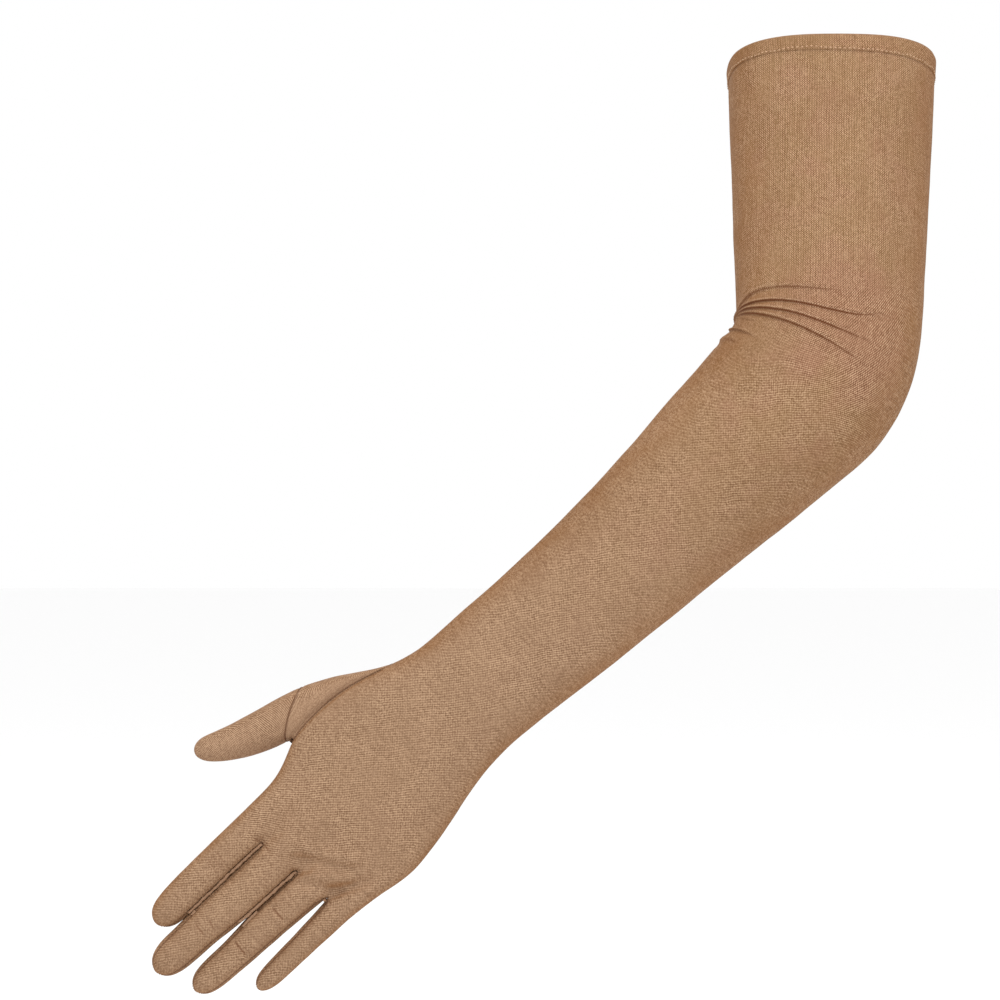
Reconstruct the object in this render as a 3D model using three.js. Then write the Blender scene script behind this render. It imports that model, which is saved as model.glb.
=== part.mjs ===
// A long dress glove of stretch tulle for the left hand, in the form it has on a bent arm.
// The skin of the glove is laid out first, in rings of points: down the sleeve, round the elbow,
// over the hand and out along each finger and the thumb. Each cut piece of cloth is then a patch
// of that skin, thickened inwards by its wall and trimmed by half the seam gap along its edges.
// The frame is +Z up with the origin at the centre of the opening. The back of the hand faces -Y.
import * as THREE from "three";

const { degToRad, lerp, smoothstep } = THREE.MathUtils;

// Cloth, in millimetres
const clothWall = 1.2;
const hemWall = 2.4;
const hemProud = 0.5;
const seamGap = 0.3;

// How far a sharp corner of a piece may draw back, in shares of half the seam gap
const mostMitre = 2;

// Sleeve: widths are across the arm as seen from the front
const openingWidth = 93.2;
const hemHeight = 7.6;
const bicepWidth = 92;
const elbowWidth = 82.5;
const wristWidth = 59.3;
const upperArmLength = 116;
const forearmLength = 173.9;
const wristLength = 20;

// Elbow: the bend turns the sleeve from straight down towards -X, about a crook of small radius
const crookRadius = 15;
const elbowBend = 46;
const elbowBulge = 1.4;
const elbowDepth = 0.965;
const foldCount = 5;
const foldDepth = 1.5;

// A fold is foldAtCrook of its height in the crook itself, full at foldFull degrees round the arm
// from there, and fades out between foldFade and foldEnd degrees
const foldAtCrook = 0.45;
const foldFull = 28;
const foldFade = 62;
const foldEnd = 112;

// The upper arm leans back by armTilt, so that the elbow lies nearer to the viewer than the opening,
// and armLean is how far it stands off the vertical as seen from the front
const armTilt = 15;
const armLean = 1.5;
const forearmPitch = 1.5;
const fingerCurl = 12;

// Hand
const palmLength = 108.4;
const palmWidth = 80;
const palmDepth = 28;
const palmTurn = -1;
const knuckleSkew = 6;
const fingerGap = 0.8;

// Fingers: width is the share of the knuckles' width that a finger takes up, depth the share of
// its own width and length the share of the longest finger's. splay is the turn of its axis from
// the hand's in degrees, taper the share of the width that is left near the tip, and tipTurn
// bends the end sideways, from the share tipTurnFrom of the length.
const knuckleWidth = 67.5;
const longestFinger = 75.6;
const tipTurnFrom = 0.6;
const fingerTable = [
  { name: "index", width: 0.247, depth: 0.935, length: 0.767, splay: 1, taper: 0.94, tipTurn: -9 },
  { name: "middle", width: 0.287, depth: 0.897, length: 1, splay: 2.4, taper: 0.86, tipTurn: 0 },
  { name: "ring", width: 0.261, depth: 0.909, length: 0.94, splay: 2.7, taper: 0.77, tipTurn: 0 },
  { name: "little", width: 0.205, depth: 0.925, length: 0.69, splay: 0, taper: 0.7, tipTurn: 0 },
];
const fingers = fingerTable.map((finger) => ({
  ...finger,
  width: finger.width * knuckleWidth,
  depth: finger.depth * finger.width * knuckleWidth,
  length: finger.length * longestFinger,
}));
const lastFinger = fingers.length - 1;

// Thumb: its seam to the gusset is a ring beside the hand. The ring stands off the lower end of
// the thumb's hole by thumbWeb, leans by seamLean from square to the thumb and lies thumbSink
// behind the middle of the hand. The thumb's axis opens from the hand's by thumbSpread at the seam
// and by thumbCurve more at the tip. The lean is gone at the share leanEnd of its length.
const thumbWidth = 24;
const thumbDepth = 21;
const thumbLength = 50;
const thumbSpread = 15.6;
const thumbCurve = 26;
const thumbPitch = -12;
const thumbWeb = 3;
const thumbSink = 4;
const seamLean = 40;
const leanEnd = 0.6;
const gussetBulge = 2;
const gussetRows = 3;

// Steps round the skin: so many over each finger, and one more at each outer seam, make up the
// back piece, and the palm piece is the same. The outer seams lie a little behind the outline,
// by seamBehind degrees.
const fingerSteps = 4;
const panelSteps = fingerSteps * fingers.length + 2;
const ringSteps = 2 * panelSteps;
const seamBehind = 12;

// The thumb's hole runs over these steps of the ring, from the back piece to the palm piece
const holeBackStep = 1;
const holePalmStep = ringSteps - 3;

// Sections below the hem. at is the share of the zone's length, and narrowing the share of the
// way from the width at the zone's start to that at its end. depth is the share of the width,
// square the exponent of the oval, where 2 is an ellipse, and turn the heading in degrees beyond
// the bend of the elbow.
const openingSquare = 2.6;
const upperArmSections = [
  { at: hemHeight / upperArmLength, narrowing: 0, depth: 0.93, square: 2.5 },
  { at: 0.25, narrowing: 0.12, depth: 0.93, square: 2.4 },
  { at: 0.42, narrowing: 0.33, depth: 0.93, square: 2.25 },
  { at: 0.6, narrowing: 0.55, depth: 0.94, square: 2.15 },
  { at: 0.78, narrowing: 0.72, depth: 0.95, square: 2.05 },
  { at: 0.92, narrowing: 0.88, depth: 0.96, square: 2 },
];
const forearmSections = [
  { at: 0.1, narrowing: 0.13, depth: 0.96, turn: 0 },
  { at: 0.21, narrowing: 0.27, depth: 0.95, turn: 0 },
  { at: 0.33, narrowing: 0.45, depth: 0.94, turn: 0 },
  { at: 0.46, narrowing: 0.62, depth: 0.92, turn: 0.8 },
  { at: 0.6, narrowing: 0.76, depth: 0.89, turn: 1.8 },
  { at: 0.75, narrowing: 0.88, depth: 0.84, turn: 2.5 },
  { at: 0.88, narrowing: 0.96, depth: 0.78, turn: 5.5 },
  { at: 1, narrowing: 1, depth: 0.72, turn: 5.5 },
];

// Sections of the hand. radial and ulnar are the half widths to the thumb's side and the little
// finger's side, as shares of the palm's width. depth is a share of the palm's depth, and
// knuckles says how far the section has taken on the fingers' own places and hollows.
const palmSquare = 2.3;
const handSections = [
  { at: 0, radial: 0.352, ulnar: 0.363, depth: 1.4, turn: 1.5, knuckles: 0 },
  { at: 0.13, radial: 0.407, ulnar: 0.368, depth: 1.26, turn: 0, knuckles: 0, hole: true },
  { at: 0.25, radial: 0.468, ulnar: 0.387, depth: 1.14, turn: 0, knuckles: 0, hole: true },
  { at: 0.365, radial: 0.5, ulnar: 0.422, depth: 1.06, turn: 0, knuckles: 0, hole: true },
  { at: 0.48, radial: 0.515, ulnar: 0.456, depth: 1.01, turn: 0, knuckles: 0, hole: true },
  { at: 0.615, radial: 0.508, ulnar: 0.48, depth: 0.98, turn: 0, knuckles: 0, hole: true },
  { at: 0.7, radial: 0.458, ulnar: 0.487, depth: 0.96, turn: 0, knuckles: 0.08 },
  { at: 0.8, radial: 0.41, ulnar: 0.467, depth: 0.92, turn: 0, knuckles: 0.25 },
  { at: 0.91, radial: 0.418, ulnar: 0.45, depth: 0.82, turn: 0, knuckles: 0.6 },
];

// Rings of a finger, as shares of its length up to the rounding of the tip. The rounding is a
// dome of tipRound widths, cut by rings at domeRings of its height. The finger's depth is
// knuckleSwell of its own at the knuckles and rootSwell just below them.
const fingerRings = [0.1, 0.28, 0.5, 0.75, 1];
const domeRings = [0.45, 0.75, 0.94];
const tipRound = 0.62;
const knuckleSwell = 1.14;
const rootSwell = 1.05;

// The section of a finger at the knuckles: the places of its steps across its half width and
// above its middle, and how far the outer fingers' first steps reach out
const acrossFinger = [-1, -0.56, 0, 0.56, 1];
const aboveFinger = [0.5, 0.87, 1, 0.87, 0.5];
const outerReach = 0.87;

// The skin at a crotch leans from the back of the hand towards the fingertips by crotchLean
const crotchLean = 37;

// Rings of the thumb from its seam: share of the length, and share of the width there
const thumbRings = [
  { at: 0.2, width: 0.9 },
  { at: 0.42, width: 0.75 },
  { at: 0.64, width: 0.63 },
  { at: 0.82, width: 0.54 },
  { at: 0.92, width: 0.43 },
  { at: 0.98, width: 0.24 },
];

const skin = { points: [], faces: [], fixedNormals: new Map(), crotches: new Map() };

function addPoint(point) {
  skin.points.push(point);
  return skin.points.length - 1;
}

// Joins two rings of the same count with quads, each given to the piece that pieceAt names.
function addBand(ringA, ringB, pieceAt) {
  ringA.forEach((corner, step) => {
    const next = (step + 1) % ringA.length;
    const piece = pieceAt(step);
    if (piece) skin.faces.push({ piece, corners: [corner, ringB[step], ringB[next], ringA[next]] });
  });
}

function addTip(ring, tip, pieceAt) {
  ring.forEach((corner, step) => {
    const next = (step + 1) % ring.length;
    skin.faces.push({ piece: pieceAt(step), corners: [corner, tip, ring[next]] });
  });
}

// A frame on the path of the arm: along runs to the fingertips, side to the little finger's side
// and front out of the back of the hand. heading turns from -Z to -X, pitch towards the viewer.
function frameAt(origin, heading, pitch) {
  const h = degToRad(heading);
  const p = degToRad(pitch);
  const along = new THREE.Vector3(-Math.sin(h) * Math.cos(p), -Math.sin(p), -Math.cos(h) * Math.cos(p));
  const side = new THREE.Vector3(Math.cos(h), 0, -Math.sin(h));
  const front = new THREE.Vector3().crossVectors(along, side);
  return { origin: origin.clone(), along, side, front, heading, pitch };
}

// Walks on from a frame by a distance, on an arc between the two headings.
function stepFrom(frame, distance, heading, pitch) {
  const middle = frameAt(frame.origin, (frame.heading + heading) / 2, (frame.pitch + pitch) / 2);
  const origin = frame.origin.clone().addScaledVector(middle.along, distance);
  return frameAt(origin, heading, pitch);
}

function pointIn(frame, side, front, along = 0) {
  return frame.origin
    .clone()
    .addScaledVector(frame.side, side)
    .addScaledVector(frame.front, front)
    .addScaledVector(frame.along, along);
}

// The angle of a step round the arm, from the crook's side over the back piece.
function stepAngle(step) {
  const backSweep = (180 + 2 * seamBehind) / panelSteps;
  const palmSweep = (180 - 2 * seamBehind) / panelSteps;
  if (step <= panelSteps) return -seamBehind + step * backSweep;
  return 180 + seamBehind + (step - panelSteps) * palmSweep;
}

// An oval ring with its own half width on either side. square is its exponent.
function ovalRing(frame, radial, ulnar, halfDepth, square = 2) {
  const rounded = (value) => Math.sign(value) * Math.abs(value) ** (2 / square);
  return Array.from({ length: ringSteps }, (_, step) => {
    const angle = degToRad(stepAngle(step));
    const across = -rounded(Math.cos(angle));
    const side = across * (across < 0 ? radial : ulnar);
    return pointIn(frame, side, halfDepth * rounded(Math.sin(angle)));
  });
}

// The lines between the fingers at the knuckles, from the thumb's side.
const fingerEdges = fingers.reduce((edges, finger) => [...edges, edges.at(-1) + finger.width], [
  -knuckleWidth / 2,
]);

function skewAt(side) {
  return -side * Math.tan(degToRad(knuckleSkew));
}

// Places a step of the ring on the fingers' own sections at the knuckles. The first step of the
// back piece and of the palm piece is on an outer seam, and after it every finger has its steps
// from the line on its thumb's side to the line on its other side.
function knucklePoint(frame, step, halfDepthOf) {
  if (step === 0) return pointIn(frame, fingerEdges[0], 0, skewAt(fingerEdges[0]));
  if (step === panelSteps) return pointIn(frame, fingerEdges.at(-1), 0, skewAt(fingerEdges.at(-1)));
  const onPalm = step > panelSteps;
  const place = (onPalm ? ringSteps - step : step) - 1;
  const index = Math.min(Math.floor(place / fingerSteps), lastFinger);
  const within = place - index * fingerSteps;
  const half = fingers[index].width / 2;
  const atOuterSeam = place === 0 || place === fingers.length * fingerSteps;
  const reach = atOuterSeam ? outerReach : 1;
  const side = fingerEdges[index] + half + half * acrossFinger[within] * reach;
  const front = halfDepthOf(index) * aboveFinger[within];
  return pointIn(frame, side, onPalm ? -front : front, skewAt(side));
}

// The elbow's folds: rings alternate between valley and ridge on the crook's side, fading out
// past the middle of the arm. Returns the height of the fold at a ring and step.
const foldRows = 2 * foldCount;
function foldHeight(foldRow, step) {
  if (foldRow === 0 || foldRow === foldRows) return 0;
  const fromCrook = Math.abs(((stepAngle(step) + 180) % 360) - 180);
  const rise = lerp(foldAtCrook, 1, smoothstep(fromCrook, 0, foldFull));
  const fade = 1 - smoothstep(fromCrook, foldFade, foldEnd);
  return ((foldRow % 2 ? 1 : -1) * foldDepth * rise * fade) / 2;
}

const rows = [];
const folds = new Map();

function addRow(points, facts = {}) {
  rows.push({ ring: points.map(addPoint), ...facts });
}

// Hem and upper arm
let frame = frameAt(new THREE.Vector3(), 0, armTilt);
const openingDepth = upperArmSections[0].depth * openingWidth;
const halfOpening = openingWidth / 2;
addRow(ovalRing(frame, halfOpening, halfOpening, openingDepth / 2, openingSquare), { hem: true });
let walked = 0;
for (const section of upperArmSections) {
  const distance = section.at * upperArmLength;
  frame = stepFrom(frame, distance - walked, armLean, armTilt);
  walked = distance;
  const width = lerp(bicepWidth, elbowWidth, section.narrowing);
  addRow(ovalRing(frame, width / 2, width / 2, (section.depth * width) / 2, section.square));
}
frame = stepFrom(frame, upperArmLength - walked, armLean, armTilt);

// Elbow: the rings fan out round the crook
const elbowRadius = elbowWidth / 2 + crookRadius;
for (let foldRow = 0; foldRow <= foldRows; foldRow++) {
  const share = foldRow / foldRows;
  if (foldRow > 0) {
    const distance = (elbowRadius * degToRad(elbowBend - armLean)) / foldRows;
    const pitch = lerp(armTilt, forearmPitch, smoothstep(share, 0, 1));
    frame = stepFrom(frame, distance, lerp(armLean, elbowBend, share), pitch);
  }
  const half = elbowWidth / 2;
  const bulge = elbowBulge * Math.sin(Math.PI * share) * share;
  addRow(ovalRing(frame, half, half + bulge, elbowDepth * half));
  rows.at(-1).ring.forEach((point, step) => folds.set(point, foldHeight(foldRow, step)));
}

// Forearm and wrist
walked = 0;
for (const section of forearmSections) {
  const distance = section.at * forearmLength;
  frame = stepFrom(frame, distance - walked, elbowBend + section.turn, forearmPitch);
  walked = distance;
  const width = lerp(elbowWidth, wristWidth, section.narrowing);
  addRow(ovalRing(frame, width / 2, width / 2, (section.depth * width) / 2));
}
frame = stepFrom(frame, wristLength, elbowBend + handSections[0].turn, forearmPitch);

// Hand: the oval gives way to the fingers' own sections towards the knuckles
const handHeading = elbowBend + palmTurn;
const halfDepthAtKnuckles = (index) => (knuckleSwell * fingers[index].depth) / 2;
walked = 0;
for (const section of handSections) {
  const distance = section.at * palmLength;
  const heading = handHeading + section.turn;
  frame = stepFrom(frame, distance - walked, heading, lerp(forearmPitch, 0, section.at));
  walked = distance;
  const halfDepth = (section.depth * palmDepth) / 2;
  const radial = section.radial * palmWidth;
  const oval = ovalRing(frame, radial, section.ulnar * palmWidth, halfDepth, palmSquare);
  const points = oval.map((point, step) =>
    point.lerp(knucklePoint(frame, step, () => halfDepth), section.knuckles),
  );
  addRow(points, { hole: section.hole, frame });
}

// Knuckles
frame = stepFrom(frame, palmLength - walked, handHeading, 0);
const knuckleFrame = frame;
addRow(
  Array.from({ length: ringSteps }, (_, step) => knucklePoint(frame, step, halfDepthAtKnuckles)),
);
const knuckleRing = rows.at(-1).ring;

const inHole = (step) => step < holeBackStep || step >= holePalmStep;
const panelAt = (step) => (step < panelSteps ? "back_panel" : "palm_panel");
for (let row = 0; row + 1 < rows.length; row++) {
  const cut = rows[row].hole && rows[row + 1].hole;
  addBand(rows[row].ring, rows[row + 1].ring, (step) => {
    if (rows[row].hem) return "hem_band";
    return cut && inHole(step) ? null : panelAt(step);
  });
}

// Crotches between the fingers: one point in the middle of the depth, between the back piece's
// point and the palm piece's, with the strip of the fourchette on both sides
const crotchNames = fingers
  .slice(1)
  .map((finger, index) => `fourchette_${fingers[index].name}_${finger.name}`);
const crotchPoints = crotchNames.map((_, index) => {
  const backPoint = knuckleRing[1 + fingerSteps * (index + 1)];
  const palmPoint = knuckleRing[ringSteps - 1 - fingerSteps * (index + 1)];
  const middle = addPoint(skin.points[backPoint].clone().lerp(skin.points[palmPoint], 0.5));
  const { along, front, side } = knuckleFrame;
  const lean = degToRad(crotchLean);
  skin.fixedNormals.set(middle, along.clone());
  skin.fixedNormals.set(backPoint, front.clone().applyAxisAngle(side, lean));
  skin.fixedNormals.set(palmPoint, front.clone().negate().applyAxisAngle(side, -lean));
  skin.crotches.set(backPoint, along);
  skin.crotches.set(palmPoint, along);
  return middle;
});

// The points at the root of a finger, from the thumb's side over the back
function fingerRoot(index) {
  const first = 1 + fingerSteps * index;
  const palmFirst = ringSteps - first - fingerSteps;
  const over = knuckleRing.slice(first, first + fingerSteps + 1);
  const under = knuckleRing.slice(palmFirst, palmFirst + fingerSteps + 1);
  const near = index === 0 ? knuckleRing[0] : crotchPoints[index - 1];
  const far = index === lastFinger ? knuckleRing[panelSteps] : crotchPoints[index];
  return [near, ...over, far, ...under];
}

// The piece that covers each of the steps round a finger
function fingerPieces(index) {
  const outside = ["back_panel", "palm_panel"];
  const near = index === 0 ? outside : Array(2).fill(crotchNames[index - 1]);
  const far = index === lastFinger ? outside : Array(2).fill(crotchNames[index]);
  const back = Array(fingerSteps).fill("back_panel");
  const palm = Array(fingerSteps).fill("palm_panel");
  return [near[0], ...back, ...far, ...palm, near[1]];
}

// A round ring of steps points, of which the first is firstAngle from the thumb's side.
function roundRing(frame, halfWidth, halfDepth, steps, firstAngle = 0) {
  return Array.from({ length: steps }, (_, step) => {
    const angle = firstAngle + (2 * Math.PI * step) / steps;
    return pointIn(frame, -halfWidth * Math.cos(angle), halfDepth * Math.sin(angle));
  });
}

function addFinger(index) {
  const finger = fingers[index];
  const pieces = fingerPieces(index);
  const root = fingerRoot(index);
  const centre = fingerEdges[index] + finger.width / 2;
  const tipTurn = (share) => finger.tipTurn * smoothstep(share, tipTurnFrom, 1);
  const heading = (share) => handHeading + finger.splay + tipTurn(share);
  const pitch = (share) => -fingerCurl * share;
  const halfWidth = (share) => ((finger.width - fingerGap) / 2) * lerp(1, finger.taper, share);
  const halfDepth = (share) => (finger.depth / 2) * lerp(rootSwell, finger.taper, share);
  const dome = tipRound * finger.width;
  const body = finger.length - dome;
  const rings = fingerRings.map((at) => ({ reach: at * body, round: 1 }));
  domeRings.forEach((at) => rings.push({ reach: body + at * dome, round: Math.sqrt(1 - at * at) }));
  let place = frameAt(pointIn(knuckleFrame, centre, 0, skewAt(centre)), heading(0), pitch(0));
  let reached = 0;
  let ring = root;
  for (const { reach, round } of rings) {
    const share = reach / finger.length;
    place = stepFrom(place, reach - reached, heading(share), pitch(share));
    reached = reach;
    const section = [round * halfWidth(share), round * halfDepth(share)];
    const next = roundRing(place, ...section, root.length).map(addPoint);
    addBand(ring, next, (step) => pieces[step]);
    ring = next;
  }
  place = stepFrom(place, finger.length - reached, heading(1), pitch(1));
  addTip(ring, addPoint(place.origin), (step) => pieces[step]);
}
fingers.forEach((_, index) => addFinger(index));

// Thumb: the edge of the hole, in order from the wrist end down the back piece, across below the
// thumb, up the palm piece and across above it
const holeRows = rows.filter((row) => row.hole);
const lastHole = holeRows.length - 1;
const holeWidth = ringSteps - holePalmStep + holeBackStep;
const holeSteps = Array.from({ length: holeWidth + 1 }, (_, k) => {
  return (holeBackStep - k + ringSteps) % ringSteps;
});
const holeLoop = [
  ...holeRows.slice(0, lastHole).map((row) => row.ring[holeBackStep]),
  ...holeSteps.slice(0, -1).map((step) => holeRows[lastHole].ring[step]),
  ...holeRows.slice(1).reverse().map((row) => row.ring[holePalmStep]),
  ...holeSteps.slice(1).reverse().map((step) => holeRows[0].ring[step]),
];

// The corner of the hole where the loop starts faces the thumb's ring an eighth of a turn on.
const thumbHeading = (share) => handHeading + thumbSpread + thumbCurve * share ** 2;
const leanedRing = (frame, lean, width) => {
  const leaned = frameAt(frame.origin, frame.heading + lean, frame.pitch);
  const section = [(width * thumbWidth) / 2, (width * thumbDepth) / 2];
  return roundRing(leaned, ...section, holeLoop.length, Math.PI / 4);
};
const crotchRow = holeRows[lastHole];
let thumbFrame = frameAt(skin.points[crotchRow.ring[0]], thumbHeading(0), thumbPitch);
const seamSide = frameAt(thumbFrame.origin, thumbFrame.heading + seamLean, thumbPitch).side;
thumbFrame.origin
  .addScaledVector(thumbFrame.along, thumbWeb)
  .addScaledVector(seamSide, -thumbWidth / 2)
  .addScaledVector(crotchRow.frame.front, -thumbSink);
const thumbSeam = leanedRing(thumbFrame, seamLean, 1);

// Gusset: cloth drawn from the hole to the thumb's seam, swelling a little between them
const holeCentre = holeLoop
  .reduce((sum, point) => sum.add(skin.points[point]), new THREE.Vector3())
  .divideScalar(holeLoop.length);
function gussetRing(share) {
  const centre = holeCentre.clone().lerp(thumbFrame.origin, share);
  return thumbSeam.map((seamPoint, step) => {
    const point = skin.points[holeLoop[step]].clone().lerp(seamPoint, share);
    const outwards = point.clone().sub(centre).normalize();
    return point.addScaledVector(outwards, gussetBulge * Math.sin(Math.PI * share));
  });
}
let ring = holeLoop;
for (let row = 1; row <= gussetRows; row++) {
  const next = gussetRing(row / gussetRows).map(addPoint);
  addBand(ring, next, () => "thumb_gusset");
  ring = next;
}

let thumbWalked = 0;
for (const { at, width } of thumbRings) {
  thumbFrame = stepFrom(thumbFrame, at * thumbLength - thumbWalked, thumbHeading(at), thumbPitch);
  thumbWalked = at * thumbLength;
  const lean = seamLean * (1 - smoothstep(at, 0, leanEnd));
  const next = leanedRing(thumbFrame, lean, width).map(addPoint);
  addBand(ring, next, () => "thumb");
  ring = next;
}
thumbFrame = stepFrom(thumbFrame, thumbLength - thumbWalked, thumbHeading(1), thumbPitch);
addTip(ring, addPoint(thumbFrame.origin), () => "thumb");

// Normals of the smooth skin, weighted by the faces' areas. The folds are raised along them.
const normals = skin.points.map(() => new THREE.Vector3());
for (const { corners } of skin.faces) {
  const [a, b, c, d] = corners.map((corner) => skin.points[corner]);
  const across = d ? c.clone().sub(a) : b.clone().sub(a);
  const other = d ? d.clone().sub(b) : c.clone().sub(a);
  const normal = across.cross(other);
  corners.forEach((corner) => normals[corner].add(normal));
}
normals.forEach((normal) => normal.normalize());
skin.fixedNormals.forEach((normal, point) => normals[point].copy(normal).normalize());
folds.forEach((height, point) => skin.points[point].addScaledVector(normals[point], height));

// Edges of a piece that only one of its faces has, each in the direction of that face.
function openEdges(faces) {
  const edges = new Map();
  for (const { corners } of faces) {
    corners.forEach((start, k) => {
      const end = corners[(k + 1) % corners.length];
      if (!edges.delete(`${end} ${start}`)) edges.set(`${start} ${end}`, [start, end]);
    });
  }
  return [...edges.values()];
}

// How far each point on the edge of a piece draws back into the piece, mitred at a corner. An edge
// runs with the piece on its left, seen from outside.
function drawBack(piece, edges) {
  const shifts = new Map();
  for (const [start, end] of edges) {
    const run = skin.points[end].clone().sub(skin.points[start]).normalize();
    for (const point of [start, end]) {
      const inwards = new THREE.Vector3().crossVectors(normals[point], run).normalize();
      shifts.set(point, (shifts.get(point) ?? new THREE.Vector3()).add(inwards));
    }
  }
  shifts.forEach((shift, point) => {
    const along = skin.crotches.get(point);
    const mitre = along ? 1 : Math.min(2 / shift.length(), mostMitre);
    if (along) shift.copy(along).multiplyScalar(piece.startsWith("fourchette") ? 1 : -1);
    const normal = normals[point];
    shift.addScaledVector(normal, -shift.dot(normal)).setLength((mitre * seamGap) / 2);
  });
  return shifts;
}

// Thickens a piece of the skin into one closed solid, from proud above the skin to wall below.
function sewnPiece(piece, proud, wall) {
  const faces = skin.faces.filter((face) => face.piece === piece);
  const edges = openEdges(faces);
  const shifts = drawBack(piece, edges);
  const outer = new Map();
  const inner = new Map();
  const position = [];
  const placed = (point, lift) => {
    const place = skin.points[point].clone().addScaledVector(normals[point], lift);
    if (shifts.has(point)) place.add(shifts.get(point));
    position.push(place.x, place.y, place.z);
    return position.length / 3 - 1;
  };
  for (const { corners } of faces) {
    for (const corner of corners) {
      if (outer.has(corner)) continue;
      outer.set(corner, placed(corner, proud));
      inner.set(corner, placed(corner, proud - wall));
    }
  }
  const index = [];
  for (const { corners } of faces) {
    for (let k = 1; k + 1 < corners.length; k++) {
      const triangle = [corners[0], corners[k], corners[k + 1]];
      index.push(...triangle.map((corner) => outer.get(corner)));
      index.push(...triangle.reverse().map((corner) => inner.get(corner)));
    }
  }
  // The end walls of two neighbours twist alike, because both are split from the same corner.
  for (const [start, end] of edges) {
    const corners = [outer.get(end), outer.get(start), inner.get(start), inner.get(end)];
    const order = start < end ? [0, 1, 2, 0, 2, 3] : [0, 1, 3, 1, 2, 3];
    index.push(...order.map((corner) => corners[corner]));
  }
  const geometry = new THREE.BufferGeometry();
  geometry.setAttribute("position", new THREE.Float32BufferAttribute(position, 3));
  geometry.setIndex(index);
  geometry.computeVertexNormals();
  return geometry;
}

// Materials: one tan tulle, a shade deeper where the cloth is doubled or lies in a seam
const tulle = new THREE.MeshStandardMaterial({ color: 0xaf8a68, roughness: 0.85, metalness: 0 });
const doubledTulle = new THREE.MeshStandardMaterial({ color: 0xa27d59, roughness: 0.85, metalness: 0 });

const pieces = [
  { name: "hem_band", proud: hemProud, wall: hemWall, material: doubledTulle },
  { name: "back_panel", proud: 0, wall: clothWall, material: tulle },
  { name: "palm_panel", proud: 0, wall: clothWall, material: tulle },
  { name: "thumb_gusset", proud: 0, wall: clothWall, material: tulle },
  { name: "thumb", proud: 0, wall: clothWall, material: tulle },
  ...crotchNames.map((name) => ({ name, proud: 0, wall: clothWall, material: doubledTulle })),
];

const glove = new THREE.Group();
for (const { name, proud, wall, material } of pieces) {
  const mesh = new THREE.Mesh(sewnPiece(name, proud, wall), material);
  mesh.name = name;
  glove.add(mesh);
}

export default glove;
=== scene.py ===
# %% [markdown]
# # A long tulle glove
#
# The glove is a close-fitting evening glove of stretch tulle for a left hand. It reaches from the
# fingertips to the middle of the upper arm, and it keeps the form that a bent arm gives it. The
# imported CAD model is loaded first, because it fixes where every piece goes. Everything after it is
# made in the same place and at the same size.

import math

import bpy
import numpy as np
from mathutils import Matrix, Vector, kdtree, noise


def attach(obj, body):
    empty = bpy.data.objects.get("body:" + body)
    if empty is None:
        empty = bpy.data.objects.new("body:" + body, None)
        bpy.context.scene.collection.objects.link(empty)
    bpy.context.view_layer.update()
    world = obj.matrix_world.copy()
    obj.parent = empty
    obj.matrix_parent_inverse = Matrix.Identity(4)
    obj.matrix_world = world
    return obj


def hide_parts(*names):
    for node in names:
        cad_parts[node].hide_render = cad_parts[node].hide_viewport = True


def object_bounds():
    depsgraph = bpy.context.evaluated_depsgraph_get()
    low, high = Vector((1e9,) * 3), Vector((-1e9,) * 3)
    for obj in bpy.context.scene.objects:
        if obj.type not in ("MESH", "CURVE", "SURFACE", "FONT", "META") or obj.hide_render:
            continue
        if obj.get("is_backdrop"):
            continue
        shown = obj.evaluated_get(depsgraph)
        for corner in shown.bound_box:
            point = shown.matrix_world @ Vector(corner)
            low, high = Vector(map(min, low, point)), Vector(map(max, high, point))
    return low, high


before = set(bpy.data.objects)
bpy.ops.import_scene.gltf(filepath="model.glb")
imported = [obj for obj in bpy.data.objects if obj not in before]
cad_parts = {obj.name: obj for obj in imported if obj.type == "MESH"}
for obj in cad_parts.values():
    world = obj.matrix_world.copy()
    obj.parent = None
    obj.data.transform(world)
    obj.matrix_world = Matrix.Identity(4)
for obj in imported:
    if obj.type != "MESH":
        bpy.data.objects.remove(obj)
cad_low, cad_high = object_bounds()
print("CAD box, mm:", [round(1000 * (h - l)) for l, h in zip(cad_low, cad_high)])

# %% [markdown]
# ## Sizes
#
# A maker would draft the glove from a few measures of the arm and hand, and so does this script.
# It works in millimetres and turns them to metres only where a mesh is made. Places are given as
# shares of the lengths, so that a table reads like the list of widths on a dress pattern.

# %% Sizes of the glove
MM = 0.001
CLOTH_WALL = 1.2
HEM_WALL, HEM_PROUD, HEM_HEIGHT = 1.7, 0.35, 7.6
OPENING_WIDTH, OPENING_SQUARE, BICEP_WIDTH = 93.2, 2.6, 92
ELBOW_WIDTH, WRIST_WIDTH = 82.5, 59.3
UPPER_ARM, FOREARM, WRIST = 116, 173.9, 20
CROOK_RADIUS, ELBOW_BEND, ELBOW_BULGE, ELBOW_DEPTH = 15, 46, 1.4, 0.965
ARM_TILT, ARM_LEAN, FOREARM_PITCH, FINGER_CURL = 15, 1.5, 1.5, 12
PALM_LENGTH, PALM_WIDTH, PALM_DEPTH, PALM_SQUARE, PALM_TURN = 108.4, 80, 28, 2.3, -1
KNUCKLE_WIDTH, KNUCKLE_SKEW, KNUCKLE_SWELL, ROOT_SWELL = 67.5, 6, 1.14, 1.05
LONGEST_FINGER, FINGER_GAP, TIP_ROUND, TIP_TURN_FROM = 75.6, 0.8, 0.62, 0.6
THUMB_WIDTH, THUMB_DEPTH, THUMB_LENGTH = 24, 21, 50
THUMB_SPREAD, THUMB_CURVE, THUMB_PITCH = 15.6, 26, -12
THUMB_WEB, THUMB_SINK, SEAM_LEAN, LEAN_END = 3, 4, 40, 0.6
GUSSET_BULGE, GUSSET_ROWS = 2, 3

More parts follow.
